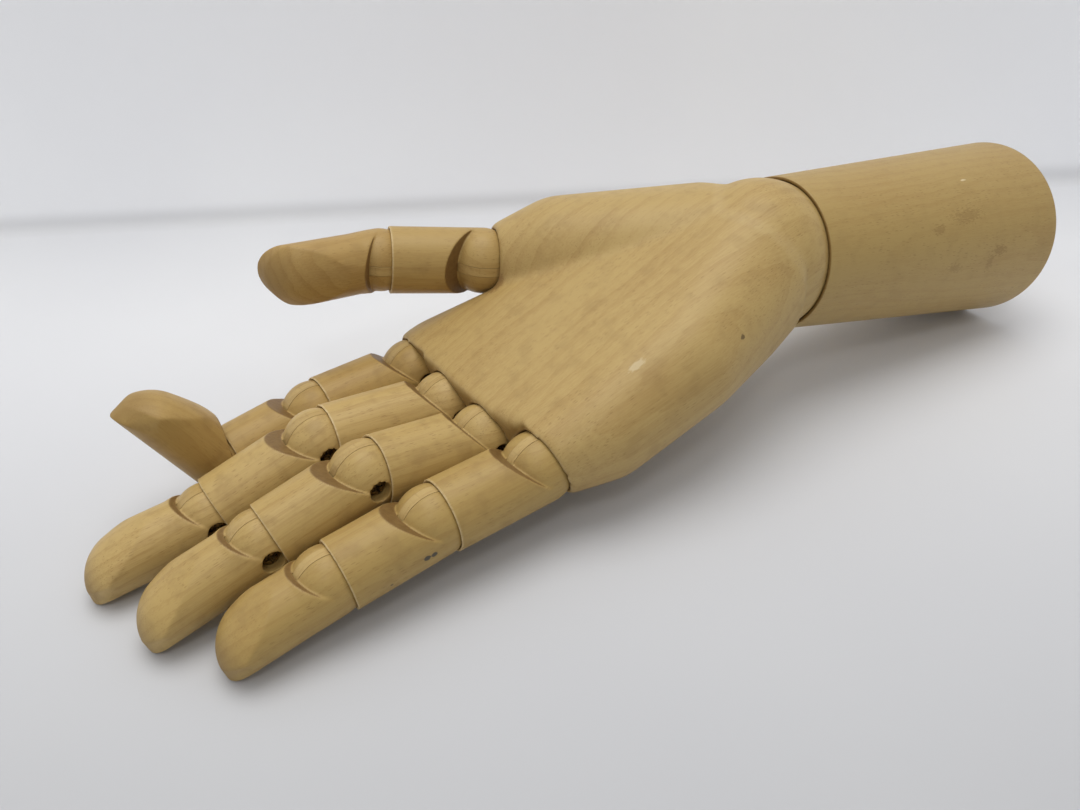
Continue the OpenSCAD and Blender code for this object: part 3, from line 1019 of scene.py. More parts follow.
@dataclass
class Segment:
    """One wooden segment of a finger or the thumb: its ball and body, and its cup or its tip."""

    shop: Workshop
    joint_tree: BallJointTree
    name: str
    where: Place
    radius: float
    cut: JointCut
    side: HeadSide

    def sizes(self) -> dict[str, float]:
        """The tree's inputs for this segment's ball end."""
        return {
            "Radius": self.radius, "Cut_Start": self.cut.start, "Cut_Angle": math.atan(self.cut.slope),
            "Shank_Radius": JOINT.shank_r, "Head_Hole_Radius": JOINT.head_hole_r,
            "Head_Floor": JOINT.head_floor, "Side": float(self.side.value),
        }

    def link(self, length: float, next_radius: float, finish: WoodFinish) -> bpy.types.Object:
        """A segment with a cup in front.

        Args:
            length: From its own joint to the next.
            next_radius: The radius of the ball in its cup.
            finish: Its wood.

        Returns:
            The piece.
        """
        reach = length - JOINT.rim_back
        blank = rod(self.radius, Vector((0.0, 0.0, 0.0)), Vector((-reach, 0.0, 0.0)))
        material = finish.material()
        cup_r = next_radius + JOINT.cup_gap
        made = self.joint_tree.run(blank, material, True, Cup_Radius=cup_r, Cup_At=length, **self.sizes())
        sand(made, SEGMENT_VOXEL, 2)
        return self.finish(made, material, reach)

    def tip(self, shape: TipShape, finish: WoodFinish) -> bpy.types.Object:
        """An end segment."""
        material = finish.material()
        made = self.joint_tree.run(shape.blank(), material, **self.sizes())
        sand(made, SEGMENT_VOXEL, 2)
        return self.finish(made, material, None)

    def finish(
        self, made: bpy.types.Object, material: bpy.types.Material, rim_at: float | None
    ) -> bpy.types.Object:
        """Saws the slot, marks the cut faces and places the piece."""
        half = JOINT.slot_width / 2
        saw = rod(self.radius + JOINT.slot_over, Vector((0.0, -half, 0.0)), Vector((0.0, half, 0.0)), turns=128)
        carve(made, "DIFFERENCE", saw)
        mesh = made.data
        mesh.set_sharp_from_angle(angle=math.radians(JOINT.sharp))
        spots = vertex_array(mesh, "co")
        normals = vertex_array(mesh, "normal")
        cuts = np.zeros((len(spots), 3), np.float32)
        from_ball = np.linalg.norm(spots, axis=1) - self.radius
        cuts[:, 0] = end_grain(mesh) * np.where(from_ball < 0.15, 0.55, 1.0)
        angle = math.atan(self.cut.slope)
        # The oblique cut's face, painted dark as shade and stain: it looks back along its own normal, lies in its
        # plane and clears the ball.
        facing = normals @ np.array((math.cos(angle), 0.0, math.sin(angle)))
        off = np.abs((spots[:, 0] + self.cut.start) * math.cos(angle) + spots[:, 2] * math.sin(angle))
        cuts[:, 1] = step(facing, 0.75, 0.95) * step(-off, -0.55, -0.2) * step(from_ball, 0.05, 0.5)
        # Painted shade on the slot's walls, in the pocket colour.
        slot_edge = half - 0.05
        inside = step(-np.abs(spots[:, 1]), -slot_edge - 0.3, -slot_edge) * step(-from_ball, -0.1, 0.9)
        cuts[:, 1] = np.maximum(cuts[:, 1], inside)
        if rim_at is not None:
            cuts[:, 2] = step(-np.abs(spots[:, 0] + rim_at), -0.5, -0.1)
            # Painted shade in the hollow behind the cup's rim, in the pocket colour.
            reach = np.hypot(spots[:, 1], spots[:, 2])
            hollow = step(-spots[:, 0], rim_at - JOINT.hollow_back, rim_at - JOINT.hollow_back + 0.5)
            hollow *= step(-reach, JOINT.rim_thick - self.radius - 0.4, JOINT.rim_thick - self.radius)
            cuts[:, 1] = np.maximum(cuts[:, 1], hollow)
            cuts[:, 0] *= 1 - hollow
        self.shop.wooden(made, cuts)
        name = self.name + "_wood"
        return self.shop.place(made, name, self.where, self.name, Stock.BEECH, material, self.name)


def joint_point(name: str) -> Vector:
    """Where a joint's axis stands, in metres."""
    return Vector(next(j for j in frame["joints"] if j["name"] == name)["pos_m"])


def joint_axis(name: str) -> Vector:
    """A joint's axis."""
    return Vector(next(j for j in frame["joints"] if j["name"] == name)["axis"]).normalized()


def joint_place(name: str, ahead: str) -> Place:
    """The frame of the segment that turns on a joint and reaches to the next one."""
    start = joint_point(name)
    along = (start - joint_point(ahead)).normalized()
    across = joint_axis(name)
    along = (along - across * along.dot(across)).normalized()
    return Place(start, along, across)


def tongue_disc(radius: float) -> bpy.types.Object:
    """A tongue: a disc that fills a ball's slot, and the neck that holds it in the piece behind."""
    half, wide, through = JOINT.tongue_thick / 2, JOINT.neck_half, Vector((0.0, 5.0, 0.0))
    made = rod(radius - JOINT.tongue_gap, Vector((0.0, -half, 0.0)), Vector((0.0, half, 0.0)), turns=160)
    carve(made, "UNION", block(Matrix.Identity(4), (0.0, -half, -wide), (JOINT.neck_long, half, wide)))
    carve(made, "DIFFERENCE", rod(JOINT.shank_r, -through, through, turns=48))
    edge = made.modifiers.new("edge", "BEVEL")
    edge.width = 0.06
    edge.segments = 2
    edge.limit_method = "ANGLE"
    settle(made)
    made.data.shade_flat()
    return made


@dataclass
class ScrewBench:
    """Makes a joint's screw and its tongue."""

    shop: Workshop
    tree: ScrewTree
    metal: bpy.types.Material
    head_back: float = 2.25
    tail_back: float = 2.65

    def screw(self, node: str, body: str, where: Place, radius: float, side: HeadSide) -> None:
        """Sinks one screw into a ball.

        Args:
            node: The solid that it stands for.
            body: The body that it moves with.
            where: The ball's frame.
            radius: The ball's radius.
            side: The side that its head is on.
        """
        blank = mesh_object("screw", bpy.data.meshes.new("screw"))
        made = self.tree.run(blank, self.metal, Shank_Length=2 * radius - JOINT.head_floor - self.tail_back)
        top = radius - self.head_back
        made.data.transform(Matrix.Rotation(-math.pi / 2 * side.value, 4, "X"))
        made.data.transform(Matrix.Translation((0.0, top * side.value, 0.0)))
        made.data.shade_flat()
        self.shop.place(made, node + "_metal", where, body, Stock.SCREW, self.metal, node)

    def tongue(self, node: str, body: str, where: Place, radius: float, finish: WoodFinish) -> None:
        """Fits one tongue into the slot of the ball in front of it."""
        made = self.shop.wooden(tongue_disc(radius))
        self.shop.place(made, node + "_wood", where, body, Stock.TONGUE, finish.material(), node)


@dataclass(frozen=True)
class FingerPlan:
    """What sets one finger apart: its bends at rest, its end's taper, its screws' side and its woods."""

    name: str
    knuckle_bend: float
    end_bend: float
    end_length: float
    taper: float
    side: HeadSide
    shade: Colour
    end_cut: JointCut = CUTS[2]


@dataclass
class Finger:
    """One finger: three wooden segments on a palm, their tongues and screws."""

    shop: Workshop
    joint_tree: BallJointTree
    bench: ScrewBench
    plan: FingerPlan

    def __post_init__(self) -> None:
        """Works out the finger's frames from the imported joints."""
        f, plan = self.plan.name, self.plan
        self.proximal = joint_place(f + "_knuckle", f + "_middle_joint")
        self.middle = joint_place(f + "_middle_joint", f + "_tip_joint")
        self.end = Place(joint_point(f + "_tip_joint"), self.middle.along, self.middle.across).bent(plan.end_bend)
        self.knuckle = self.proximal.bent(-plan.knuckle_bend)
        self.lengths = (
            (self.middle.origin - self.proximal.origin).length / MM,
            (self.end.origin - self.middle.origin).length / MM,
        )

    def build(self, woods: dict[str, WoodFinish]) -> None:
        """Makes every piece of the finger.

        Args:
            woods: The finish of each wooden segment, and of the tongues.
        """
        f, plan = self.plan.name, self.plan
        parts = (
            (f + "_proximal", self.proximal, SEGMENT_R[0], CUTS[0]),
            (f + "_middle", self.middle, SEGMENT_R[1], CUTS[1]),
            (f + "_tip", self.end, SEGMENT_R[2], plan.end_cut),
        )
        for i, (name, where, radius, cut) in enumerate(parts):
            segment = Segment(self.shop, self.joint_tree, name, where, radius, cut, plan.side)
            if i < 2:
                segment.link(self.lengths[i], SEGMENT_R[i + 1], woods[name])
            else:
                segment.tip(TipShape(radius, plan.end_length, plan.taper), woods[name])
        behind = (
            ("palm", self.knuckle),
            (f + "_proximal", self.proximal.moved(-self.lengths[0], 0.0, 0.0)),
            (f + "_middle", self.middle.moved(-self.lengths[1], 0.0, 0.0)),
        )
        for part, (body, where), (name, own, radius, _) in zip(("knuckle", "middle", "tip"), behind, parts):
            self.bench.screw(f"{f}_{part}_screw", name, own, radius, plan.side)
            self.bench.tongue(f"{f}_{part}_tongue", body, where, radius, woods["tongue"])


@dataclass
class Thumb:
    """The thumb: two wooden segments, their tongues and screws."""

    shop: Workshop
    joint_tree: BallJointTree
    bench: ScrewBench
    end_bend: float = 27.0
    end_length: float = 36.0
    taper: float = 6.0
    keel: float = 1.0

    def build(self, woods: dict[str, WoodFinish]) -> None:
        """Makes every piece of the thumb."""
        base = joint_place("thumb_base", "thumb_tip_joint")
        length = (joint_point("thumb_tip_joint") - joint_point("thumb_base")).length / MM
        front = base.moved(-length, 0.0, 0.0)
        end = front.bent(self.end_bend)
        side = HeadSide.LITTLE
        shape = TipShape(THUMB_R[1], self.end_length, self.taper, keel=self.keel)
        for name, where, radius, cut in (
            ("thumb_proximal", base, THUMB_R[0], THUMB_CUT), ("thumb_tip", end, THUMB_R[1], CUTS[1]),
        ):
            segment = Segment(self.shop, self.joint_tree, name, where, radius, cut, side)
            if name == "thumb_tip":
                segment.tip(shape, woods[name])
            else:
                segment.link(length, THUMB_R[1], woods[name])
        self.bench.screw("thumb_base_screw", "thumb_proximal", base, THUMB_R[0], side)
        self.bench.screw("thumb_tip_screw", "thumb_tip", end, THUMB_R[1], side)
        self.bench.tongue("thumb_base_tongue", "palm", base, THUMB_R[0], woods["tongue"])
        self.bench.tongue("thumb_tip_tongue", "thumb_proximal", front, THUMB_R[1], woods["tongue"])


@dataclass
class Palm:
    """The carved palm: a slab from the heel to the knuckles, the ball of the thumb and the wrist ball."""

    shop: Workshop
    slope: float = 16.9
    ball_r: float = 23.5
    skin: float = 1.0
    heel_start: float = 3.0
    heel_lean: float = 13.0
    slab: tuple[Lump, ...] = (
        (5.5, -2.0, 0.0, 22.8), (5.0, 4.5, 0.4, 22.8), (7.0, 4.0, -1.0, 23.2),
        (22.0, -8.5, -1.5, 20.5), (44.0, -18.5, 0.0, 17.0), (75.0, -20.5, -1.7, 15.0),
    )
    thenar: tuple[Lump, ...] = ((5.0, 4.5, 0.4, 22.8), (10.0, 14.5, 0.8, 22.2), (43.0, 42.5, 8.0, 20.0))
    knuckle_wood: float = 8.0
    thumb_wood: tuple[float, float] = (3.0, 12.0)
    half_cut: float = 10.7
    far: float = 60.0
    little_web: float = 4.0
    little_back: float = 0.3
    slot_tilt: float = 26.6
    slot_low: Triple = (-8.0, -2.2, -6.0)
    slot_high: Triple = (40.0, 2.2, 6.0)
    rub_at: Triple = (3.0, -11.5, 10.5)
    rub_reach: float = 7.0
    rub_share: float = 0.6
    rub_passes: int = 110
    knuckles_from: float = 88.0
    block_voxel: float = 1.0
    voxel: float = 0.64
    bands: int = 32
    sides: int = 64

    def frame(self) -> Place:
        """The palm's frame at the wrist ball's centre."""
        return Place(joint_point("wrist_bend"), Vector((1.0, 0.0, 0.0)), Vector((0.0, 1.0, 0.0))).bent(-self.slope)

    def local(self, where: Place) -> Matrix:
        """Another frame, seen from the palm's, in millimetres."""
        return self.frame().matrix().inverted() @ where.matrix()

    def build(self, knuckles: list[Place], thumb_base: Place, finish: WoodFinish) -> None:
        """Carves the palm.

        Args:
            knuckles: The frames of the four knuckles, before their bends.
            thumb_base: The frame of the thumb's base.
            finish: Its wood.
        """
        cups = [self.local(k) for k in knuckles]
        thumb = self.local(thumb_base)
        made = self.body(cups, thumb)
        self.cut_ends(made, cups, thumb)
        sand(made, self.voxel, 2, 0.4)
        self.ease(made, cups[2] @ Vector(self.rub_at))
        mesh = made.data
        spots = vertex_array(mesh, "co")
        cuts = np.zeros((len(spots), 3), np.float32)
        front = step(-spots[:, 0], self.knuckles_from, self.knuckles_from + 8.0)
        cuts[:, 0] = end_grain(mesh) * 0.8
        for cup, radius in [(c, SEGMENT_R[0]) for c in cups] + [(thumb, THUMB_R[0])]:
            centre = np.array(cup.translation, np.float32)
            away = np.linalg.norm(spots - centre, axis=1) - radius - JOINT.cup_gap
            # Painted shade and stain inside each cup, in the pocket colour.
            inside = step(-away, -0.5, -0.1)
            cuts[:, 1] = np.maximum(cuts[:, 1], inside)
            cuts[:, 2] = np.maximum(cuts[:, 2], 0.6 * step(-np.abs(away - 0.5), -0.5, -0.1) * front)
        proud = np.linalg.norm(spots, axis=1) - self.ball_r
        heel = step(-np.abs(proud - 1.1), -1.0, -0.2) * step(spots[:, 0], -17.0, -9.0)
        cuts[:, 2] = np.maximum(cuts[:, 2], 0.16 * heel)
        cuts[:, 0] *= 1 - cuts[:, 1]
        self.shop.wooden(made, cuts)
        self.shop.place(made, "palm_wood", self.frame(), "palm", Stock.BEECH, finish.material(), "palm")

    def ease(self, made: bpy.types.Object, centre: Vector) -> None:
        """Rubs one place of the palm smooth, fading out at the rub's reach."""
        away = np.linalg.norm(vertex_array(made.data, "co") - np.array(centre, np.float32), axis=1)
        shares = 1.0 - step(away, 0.5 * self.rub_reach, self.rub_reach)
        group = made.vertex_groups.new(name="ease")
        for index in np.flatnonzero(shares > 0.01):
            group.add([int(index)], float(shares[index]), "REPLACE")
        rub = made.modifiers.new("ease", "SMOOTH")
        rub.vertex_group = "ease"
        rub.factor = self.rub_share
        rub.iterations = self.rub_passes
        settle(made)

    def sphere_points(self, lump: Lump) -> list[Vector]:
        """Points all over one lump of the outline."""
        back, side, up, r = lump
        points = []
        for i in range(self.bands + 1):
            height = math.pi * i / self.bands
            wide, tall = r * math.sin(height), r * math.cos(height)
            points += [Vector((-back + wide * c, side + wide * s, up + tall)) for c, s in around(self.sides)]
        return points

    def end_points(self, cup: Matrix, radius: float, start: float, stop: float) -> list[Vector]:
        """Points round the end of the wood behind one cup."""
        turns = around(self.sides)
        return [cup @ Vector((x, radius * c, radius * s)) for x in (start, stop) for c, s in turns]

    def body(self, cups: list[Matrix], thumb: Matrix) -> bpy.types.Object:
        """The outline: both masses as one soft form, cut at the heel, with the wrist ball."""
        points = [p for lump in self.slab for p in self.sphere_points(lump)]
        for cup in cups:
            stop = JOINT.rim_back + self.knuckle_wood
            points += self.end_points(cup, SEGMENT_R[0] + self.skin, JOINT.rim_back, stop)
        made = hull(points)
        points = [p for lump in self.thenar for p in self.sphere_points(lump)]
        points += self.end_points(thumb, THUMB_R[0] + self.skin, *self.thumb_wood)
        carve(made, "UNION", hull(points))
        sand(made, self.block_voxel, 14, 0.5)
        lean = Matrix.Rotation(math.radians(self.heel_lean), 4, "Y")
        heel = Matrix.Translation((-self.heel_start, 0.0, 0.0)) @ lean
        far = self.far
        carve(made, "DIFFERENCE", block(heel, (0.0, -far, -far), (far, far, far)))
        carve(made, "UNION", ball(self.ball_r, turns=160))
        return sand(made, self.block_voxel * 0.8, 7, 0.5)

    def cut_ends(self, made: bpy.types.Object, cups: list[Matrix], thumb: Matrix) -> None:
        """Cuts the knuckles' fronts, the cups and the link's slot."""
        half, far, back = self.half_cut, self.far, JOINT.rim_back
        fronts = [(cup, back, -half, half, far) for cup in cups[:3]]
        fronts += [
            (cups[3], back, -half, half - self.little_web, far), (cups[3], self.little_back, 0.0, half + 0.1, far),
            (cups[3], back, -far, 1.0, far), (cups[0], back, 0.0, far, SEGMENT_R[0] + self.skin),
        ]
        for cup, start, low, high, top in fronts:
            front = cup @ Matrix.Translation((start, 0.0, 0.0))
            carve(made, "DIFFERENCE", block(front, (-far, low, -far), (0.0, high, top)))
        for cup, radius in [(c, SEGMENT_R[0]) for c in cups] + [(thumb, THUMB_R[0])]:
            cutter = ball(radius + JOINT.cup_gap, turns=128)
            cutter.data.transform(cup)
            carve(made, "DIFFERENCE", cutter)
        tilt = Matrix.Rotation(math.radians(self.slot_tilt), 4, "Y")
        carve(made, "DIFFERENCE", block(tilt, self.slot_low, self.slot_high))


@dataclass
class Forearm:
    """The turned forearm, its base plug and the sprung wrist inside it."""

    shop: Workshop
    tilt: float = 9.7
    base_r: float = 30.0
    rim_r: float = 23.5
    length: float = 104.0
    rim_at: float = 7.0
    rim_in: float = 22.6
    base_edge: float = 0.9
    edge: float = 0.3
    plug_gap: float = 0.05
    cup_r: float = 23.75
    neck_r: float = 5.7
    seat_at: float = 40.0
    bore_r: float = 7.0
    plug_r: float = 8.0
    plug_h: float = 8.0
    spring_r: float = 5.2
    wire_r: float = 0.8
    spring_h: float = 24.0
    spring_gap: float = 0.1
    stretch: float = 2.0
    turns: int = 8

    def frame(self) -> Place:
        """The forearm's frame at the wrist ball's centre, +X towards the base."""
        return Place(joint_point("wrist_twist"), Vector((1.0, 0.0, 0.0)), Vector((0.0, 1.0, 0.0))).bent(self.tilt)

    def build(self, finish: WoodFinish, plug_finish: WoodFinish, metal: bpy.types.Material) -> None:
        """Turns the forearm and its plug and fits the wrist's metal."""
        self.shell(finish)
        self.plug(plug_finish)
        self.spring(metal)

    def shell(self, finish: WoodFinish) -> None:
        """The turned body: cone, rounded rims, cup and bores."""
        base = self.rim_at + self.length
        hole = self.plug_r + self.plug_gap
        corners = [
            (base - self.plug_h, hole, 0.0), (base, hole, self.edge), (base, self.base_r, self.base_edge),
            (self.rim_at, self.rim_r, self.edge), (self.rim_at, self.rim_in, 0.0),
        ]
        outline = rounded(corners)[:-1]
        start, stop = math.acos(self.rim_at / self.cup_r), math.asin(self.neck_r / self.cup_r)
        for k in range(25):
            angle = start + (stop - start) * k / 24
            outline.append((self.cup_r * math.cos(angle), self.cup_r * math.sin(angle)))
        outline += [(self.seat_at, self.neck_r), (self.seat_at, self.bore_r), (base - self.plug_h, self.bore_r)]
        made = turned("forearm", self.stretched(outline), 256)
        spots = vertex_array(made.data, "co")
        cuts = np.zeros((len(spots), 3), np.float32)
        reach = np.hypot(spots[:, 1], spots[:, 2])
        cuts[:, 0] = end_grain(made.data) * step(spots[:, 0], base - 1.5, base - 0.6) * 0.8
        # The rim's end face and the inner cup and bores, painted dark: end grain and painted shade.
        rim = step(-spots[:, 0], -self.rim_at - 0.25, -self.rim_at + 0.05)
        rim += step(-reach, -self.rim_in - 0.2, -self.rim_in + 0.1)
        cuts[:, 1] = np.clip(rim, 0.0, 1.0) * 0.8
        self.shop.wooden(made, cuts)
        self.shop.place(made, "forearm_wood", self.frame(), "forearm", Stock.BEECH, finish.material(), "forearm")

    def stretched(self, outline: list[tuple[float, float]]) -> list[tuple[float, float]]:
        """The outline with its long stretches divided, so that marks on its vertices stay local."""
        points = []
        for here, there in zip(outline, outline[1:] + outline[:1]):
            count = max(1, math.ceil(math.dist(here, there) / self.stretch))
            for k in range(count):
                share = k / count
                points.append(tuple(a + (b - a) * share for a, b in zip(here, there)))
        return points

    def plug(self, finish: WoodFinish) -> None:
        """The disc that closes the bore."""
        base = self.rim_at + self.length
        corners = [
            (base - self.plug_h, 0.0, 0.0), (base - self.plug_h, self.plug_r, 0.4), (base, self.plug_r, 0.25),
            (base, 0.0, 0.0),
        ]
        made = self.shop.wooden(turned("plug", self.open_stretched(rounded(corners)), 96))
        self.shop.place(made, "base_plug_wood", self.frame(), "forearm", Stock.TONGUE, finish.material(), "base_plug")

    def open_stretched(self, outline: list[tuple[float, float]]) -> list[tuple[float, float]]:
        """An open outline with its long stretches divided."""
        closing = max(1, math.ceil(math.dist(outline[-1], outline[0]) / self.stretch))
        return self.stretched(outline)[:-closing] + [outline[-1]]

    def spring(self, metal: bpy.types.Material) -> None:
        """The wrist's coil spring, on the link's rod."""
        made = SpringTree().run(
            mesh_object("spring", bpy.data.meshes.new("spring")), metal, Turns=self.turns, Coil_Radius=self.spring_r,
            Height=self.spring_h - 2 * (self.wire_r + self.spring_gap), Wire_Radius=self.wire_r,
        )
        made.data.transform(Matrix.Rotation(math.pi / 2, 4, "Y"))
        made.data.transform(Matrix.Translation((self.seat_at + self.wire_r + self.spring_gap, 0.0, 0.0)))
        made.data.shade_smooth()
        self.shop.place(
            made, "wrist_spring_metal", self.frame(), "wrist_swivel", Stock.WRIST_METAL, metal, "wrist_spring"
        )


@dataclass(frozen=True)
class Studio:
    """The photograph's viewpoint, a pale floor and backdrop and soft light."""

    eye: Triple = (-140.5, -206.3, 172.1)
    yaw: float = 29.67
    pitch: float = -34.48
    roll: float = -2.78
    lens: float = 30.415
    wall_at: tuple[float, float] = (71.0, 156.0)
    wall_height: float = 0.3
    bend_r: float = 0.006
    front: float = -1.6
    half_width: float = 2.0
    pale: Colour = srgb(233, 234, 236)
    clouded: Colour = srgb(227, 228, 231)
    shaded: Colour = srgb(158, 159, 162)
    shade_between: tuple[float, float] = (-0.34, 0.10)
    wall_glow: float = 0.2
    lamps: tuple[tuple[str, Triple, float, float], ...] = (
        ("glint", (-0.35, -0.55, 0.85), 0.16, 0.7),
        ("top", (0.02, 0.08, 1.1), 0.9, 6.0),
    )
    lamp_aim: Triple = (-0.02, 0.0, 0.03)

    def build(self) -> None:
        """Sets up the camera, the floor, the light and the plain view transform."""
        scene = bpy.context.scene
        scene.view_settings.view_transform = "Standard"
        self.camera(scene)
        self.stage()
        self.light(scene)

    def forward(self) -> Vector:
        """The way the camera looks."""
        yaw, pitch = math.radians(self.yaw), math.radians(self.pitch)
        return Vector((math.sin(yaw) * math.cos(pitch), math.cos(yaw) * math.cos(pitch), math.sin(pitch)))

    def camera(self, scene: bpy.types.Scene) -> None:
        """The camera at the photograph's viewpoint."""
        data = bpy.data.cameras.new("camera")
        data.lens = self.lens
        data.sensor_width = 36.0
        data.clip_start = 0.005
        eye = bpy.data.objects.new("camera", data)
        scene.collection.objects.link(eye)
        look = self.forward().to_track_quat("-Z", "Y").to_matrix().to_4x4()
        roll = Matrix.Rotation(math.radians(self.roll), 4, "Z")
        eye.matrix_world = Matrix.Translation(Vector(self.eye) * MM) @ look @ roll
        scene.camera = eye

    def stage(self) -> None:
        """The table and the board behind it, as one pale sheet with a tight curve between them."""
        away = Vector((math.sin(math.radians(self.yaw)), math.cos(math.radians(self.yaw)), 0.0))
        side = Vector((away.y, -away.x, 0.0))
        foot = Vector((*self.wall_at, 0.0)) * MM
        outline = [(self.front, 0.0), (-self.bend_r, 0.0)]
        for k in range(1, 7):
            turn = math.pi / 2 * k / 6
            outline.append((self.bend_r * (math.sin(turn) - 1), self.bend_r * (1 - math.cos(turn))))
        outline.append((0.0, self.wall_height))
        shape = bmesh.new()
        rows = []
        for back, up in outline:
            spot = foot + away * back + Vector((0, 0, up))
            rows.append([shape.verts.new(spot + side * s) for s in (-self.half_width, self.half_width)])
        for first, second in zip(rows, rows[1:]):
            shape.faces.new((first[0], first[1], second[1], second[0]))
        made = from_bmesh("table_and_board", shape)
        made.data.shade_smooth()
        made.data.materials.append(self.paper(away))

    def paper(self, away: Vector) -> bpy.types.Material:
        """The pale table, a little shaded towards the camera, and the lit board."""
        paper, n, shader = new_material("pale_table")
        place = n.add("ShaderNodeTexCoord").outputs["Object"]
        cloud = n.noise(place, detail=3, scale=5.0)
        colour = n.mix(n.ramp(cloud, 0.3, 0.7), self.pale, self.clouded)
        near = n.ramp(n.vector("DOT_PRODUCT", place, away), *self.shade_between, (1.0, 0.0))
        colour = n.mix(near, colour, self.shaded)
        n.feed(shader.inputs["Base Color"], colour)
        lit = n.ramp(n.split(place)[2], self.bend_r / 3, self.bend_r * 2, (0.0, self.wall_glow))
        n.feed(shader.inputs["Emission Strength"], lit)
        n.feed(shader.inputs["Emission Color"], srgb(236, 237, 240))
        shader.inputs["Roughness"].default_value = 0.55
        shader.inputs["Specular IOR Level"].default_value = 0.25
        return paper

    def light(self, scene: bpy.types.Scene) -> None:
        """A soft lamp above, a small one beside the camera and an even sky."""
        world = bpy.data.worlds.new("sky")
        world.use_nodes = True
        n = Nodes(world.node_tree)
        _, back, up = n.split(n.add("ShaderNodeTexCoord").outputs["Generated"])
        strength = n.math("ADD", n.ramp(back, -0.9, 0.7, (0.4, 0.75)), n.ramp(up, 0.1, 0.9, (0.0, 0.15)))
        sky = world.node_tree.nodes["Background"]
        n.feed(sky.inputs["Color"], srgb(238, 239, 241))
        n.feed(sky.inputs["Strength"], strength)
        scene.world = world
        for name, spot, size, power in self.lamps:
            lamp = bpy.data.lights.new(name, "AREA")
            lamp.shape = "DISK"
            lamp.size = size
            lamp.energy = power
            lamp.color = (1.0, 0.98, 0.95)
            stand = bpy.data.objects.new(name, lamp)
            scene.collection.objects.link(stand)
            aim = (Vector(self.lamp_aim) - Vector(spot)).to_track_quat("-Z", "Y")
            stand.matrix_world = Matrix.Translation(Vector(spot)) @ aim.to_matrix().to_4x4()


def finger_plans() -> tuple[FingerPlan, ...]:
    """The four fingers as they are posed in the photograph."""
    near, far = HeadSide.LITTLE, HeadSide.THUMB
    return (
        FingerPlan("index", 15.0, 71.0, 34.8, 6.0, near, srgb(180, 149, 88), INDEX_END_CUT),
        FingerPlan("middle", 22.0, 11.2, 34.5, 6.0, near, srgb(193, 164, 104)),
        FingerPlan("ring", 24.3, 0.6, 35.1, 6.0, near, srgb(188, 159, 98)),
        FingerPlan("little", 13.6, -2.8, 30.5, 11.0, far, srgb(178, 149, 88)),
    )


def piece_marks() -> dict[str, tuple[Mark, ...]]:
    """The stains, dents and scratches that the photograph shows, by piece, and a painted shadow under the thumb."""
    worn, bruise, ink, dent = srgb(220, 204, 166), srgb(128, 94, 46), srgb(48, 54, 58), srgb(84, 62, 36)
    return {
        "forearm": (
            Mark((66.7, -22.5, 15.3), (6.5, 2.4, 2.4), bruise, 0.32, 1.4),
            Mark((53.0, -23.5, 11.9), (2.4, 1.6, 1.6), bruise, 0.32, 1.3),
            Mark((82.5, -27.9, 4.0), (3.6, 2.4, 1.8), bruise, 0.4, 1.2),
            Mark((79.0, -28.0, 0.2), (1.6, 2.0, 3.0), bruise, 0.32, 1.3),
            Mark((62.4, -27.0, -0.5), (3.0, 2.0, 1.4), bruise, 0.28, 1.4),
            Mark((71.5, -13.9, 23.8), (1.5, 0.35, 0.7), worn, 0.85, 0.2),
        ),
        "palm": (
            Mark((-61.3, -24.6, 14.1), (3.0, 1.2, 1.6), worn, 0.45, 0.5),
            Mark((-31.9, -31.4, 6.8), (0.9, 0.9, 0.8), dent, 0.75, 0.3),
            Mark((-31.2, -30.9, 5.0), (0.6, 0.6, 0.6), dent, 0.6, 0.3),
            # A painted shadow where the thumb's ball hangs over the palm.
            Mark((-68.0, 41.0, 15.0), (5.0, 3.0, 3.0), srgb(120, 80, 44), 0.5, 0.7),
        ),
        "little_middle": (
            Mark((-4.9, -9.6, -1.0), (1.0, 0.9, 0.8), ink, 0.85, 0.25),
            Mark((-6.9, -9.7, -0.9), (1.1, 0.9, 0.9), ink, 0.85, 0.25),
            Mark((-17.2, -9.2, -2.9), (0.5, 0.6, 0.5), srgb(96, 82, 60), 0.7, 0.2),
        ),
        "middle_tip": (Mark((-8.2, -9.1, 1.6), (0.55, 0.5, 0.55), srgb(104, 44, 26), 0.9, 0.1),),
    }


def finger_woods(plan: FingerPlan, index: int) -> dict[str, WoodFinish]:
    """The woods of one finger, each piece cut from another place of the board."""
    woods = {}
    for k, part in enumerate(("proximal", "middle", "tip")):
        name = f"{plan.name}_{part}"
        shift = (40.0 * index + 90.0 * k, 14.0 + 5.0 * index + 3.0 * k, 22.0 - 6.0 * k + 4.0 * index)
        woods[name] = WoodFinish(name, shift, pale=plan.shade, grime=0.3, marks=piece_marks().get(name, ()))
    shift = (25.0 * index, 31.0, 7.0)
    woods["tongue"] = WoodFinish(plan.name + "_tongue", shift, pale=srgb(190, 162, 105), grime=0.15)
    return woods


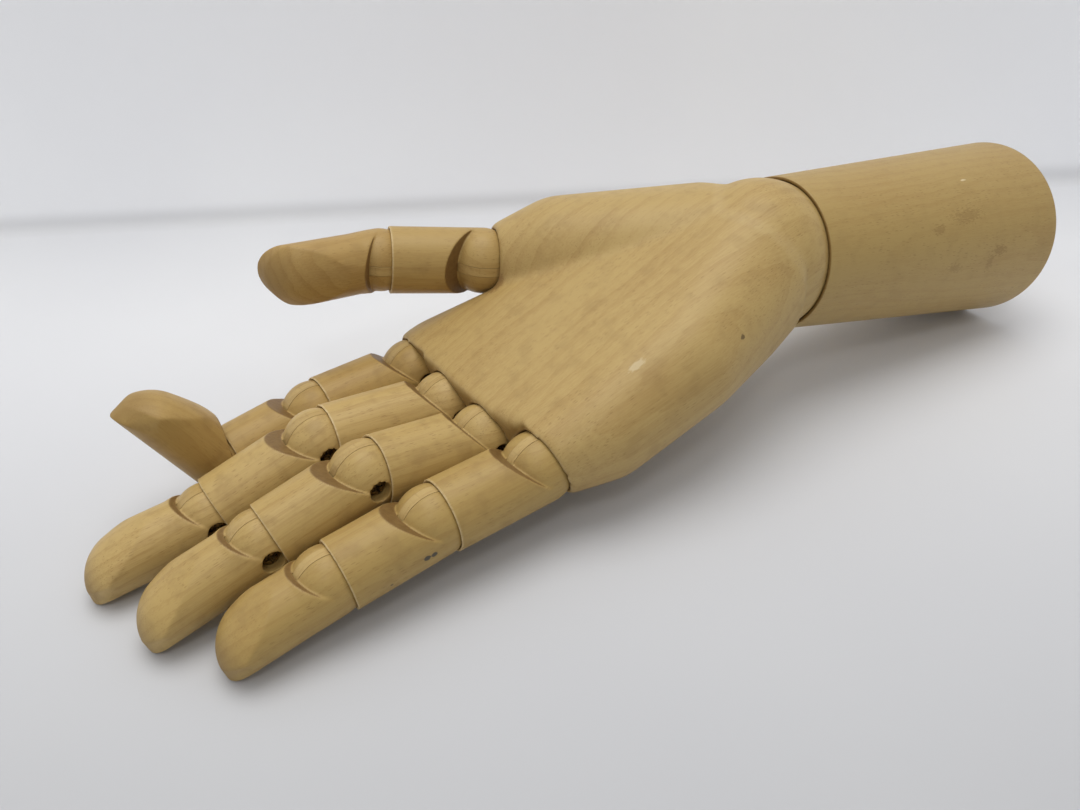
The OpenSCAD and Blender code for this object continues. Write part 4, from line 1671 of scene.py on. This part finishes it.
def dress_hidden(metal: bpy.types.Material, wood: WoodFinish) -> None:
    """Gives the solids that are kept as they are their finishes."""
    dress = dict.fromkeys(("wrist_link", "wrist_washer", "wrist_nut", "wrist_pin"), metal)
    dress["wrist_pin_plug"] = wood.material()
    for name, material in dress.items():
        solid = frame["nodes"][name]
        solid.data.materials.clear()
        solid.data.materials.append(material)


def main() -> None:
    """Builds the hand, sub-assembly by sub-assembly."""
    logging.basicConfig(level=logging.INFO, format="%(name)s: %(message)s")
    GROUPS.update(beech=beech_group(), handled=wear_and_shade_group(), mark=spot_group())
    shop = Workshop()
    marks = piece_marks()
    joints = BallJointTree()
    screw_metal = MetalFinish("screw_metal", srgb(150, 128, 88), srgb(58, 48, 38)).material()
    wrist_metal = MetalFinish("wrist_metal", srgb(176, 176, 172), srgb(120, 118, 112)).material()
    bench = ScrewBench(shop, ScrewTree(), screw_metal)
    Forearm(shop).build(
        WoodFinish("forearm", (10.0, 46.0, -12.0), pale=srgb(177, 149, 90), ring_width=3.4, rings=0.2, grime=0.12,
                   marks=marks["forearm"]),
        WoodFinish("base_plug", (300.0, 20.0, 12.0)), wrist_metal,
    )
    fingers = [Finger(shop, joints, bench, plan) for plan in finger_plans()]
    for i, finger in enumerate(fingers):
        finger.build(finger_woods(finger.plan, i))
    brown = srgb(182, 152, 92)
    Thumb(shop, joints, bench).build({
        "thumb_proximal": WoodFinish("thumb_proximal", (15.0, 33.0, 5.0), pale=brown, grime=0.2),
        "thumb_tip": WoodFinish("thumb_tip", (115.0, 12.0, 25.0), pale=srgb(178, 146, 86), dark=srgb(146, 108, 54)),
        "tongue": WoodFinish("thumb_tongue", (7.0, 21.0, 7.0), grime=0.1),
    })
    Palm(shop).build(
        [finger.knuckle for finger in fingers], joint_place("thumb_base", "thumb_tip_joint"),
        WoodFinish("palm", (0.0, 62.0, -34.0), pale=srgb(187, 159, 101), ring_width=4.2, rings=0.2, grime=0.2,
                   marks=marks["palm"]),
    )
    dress_hidden(wrist_metal, WoodFinish("pin_plug", (5.0, 20.0, 4.0)))
    Studio().build()
    LOG.info("%d pieces made", shop.made)


if __name__ == "__main__":
    main()
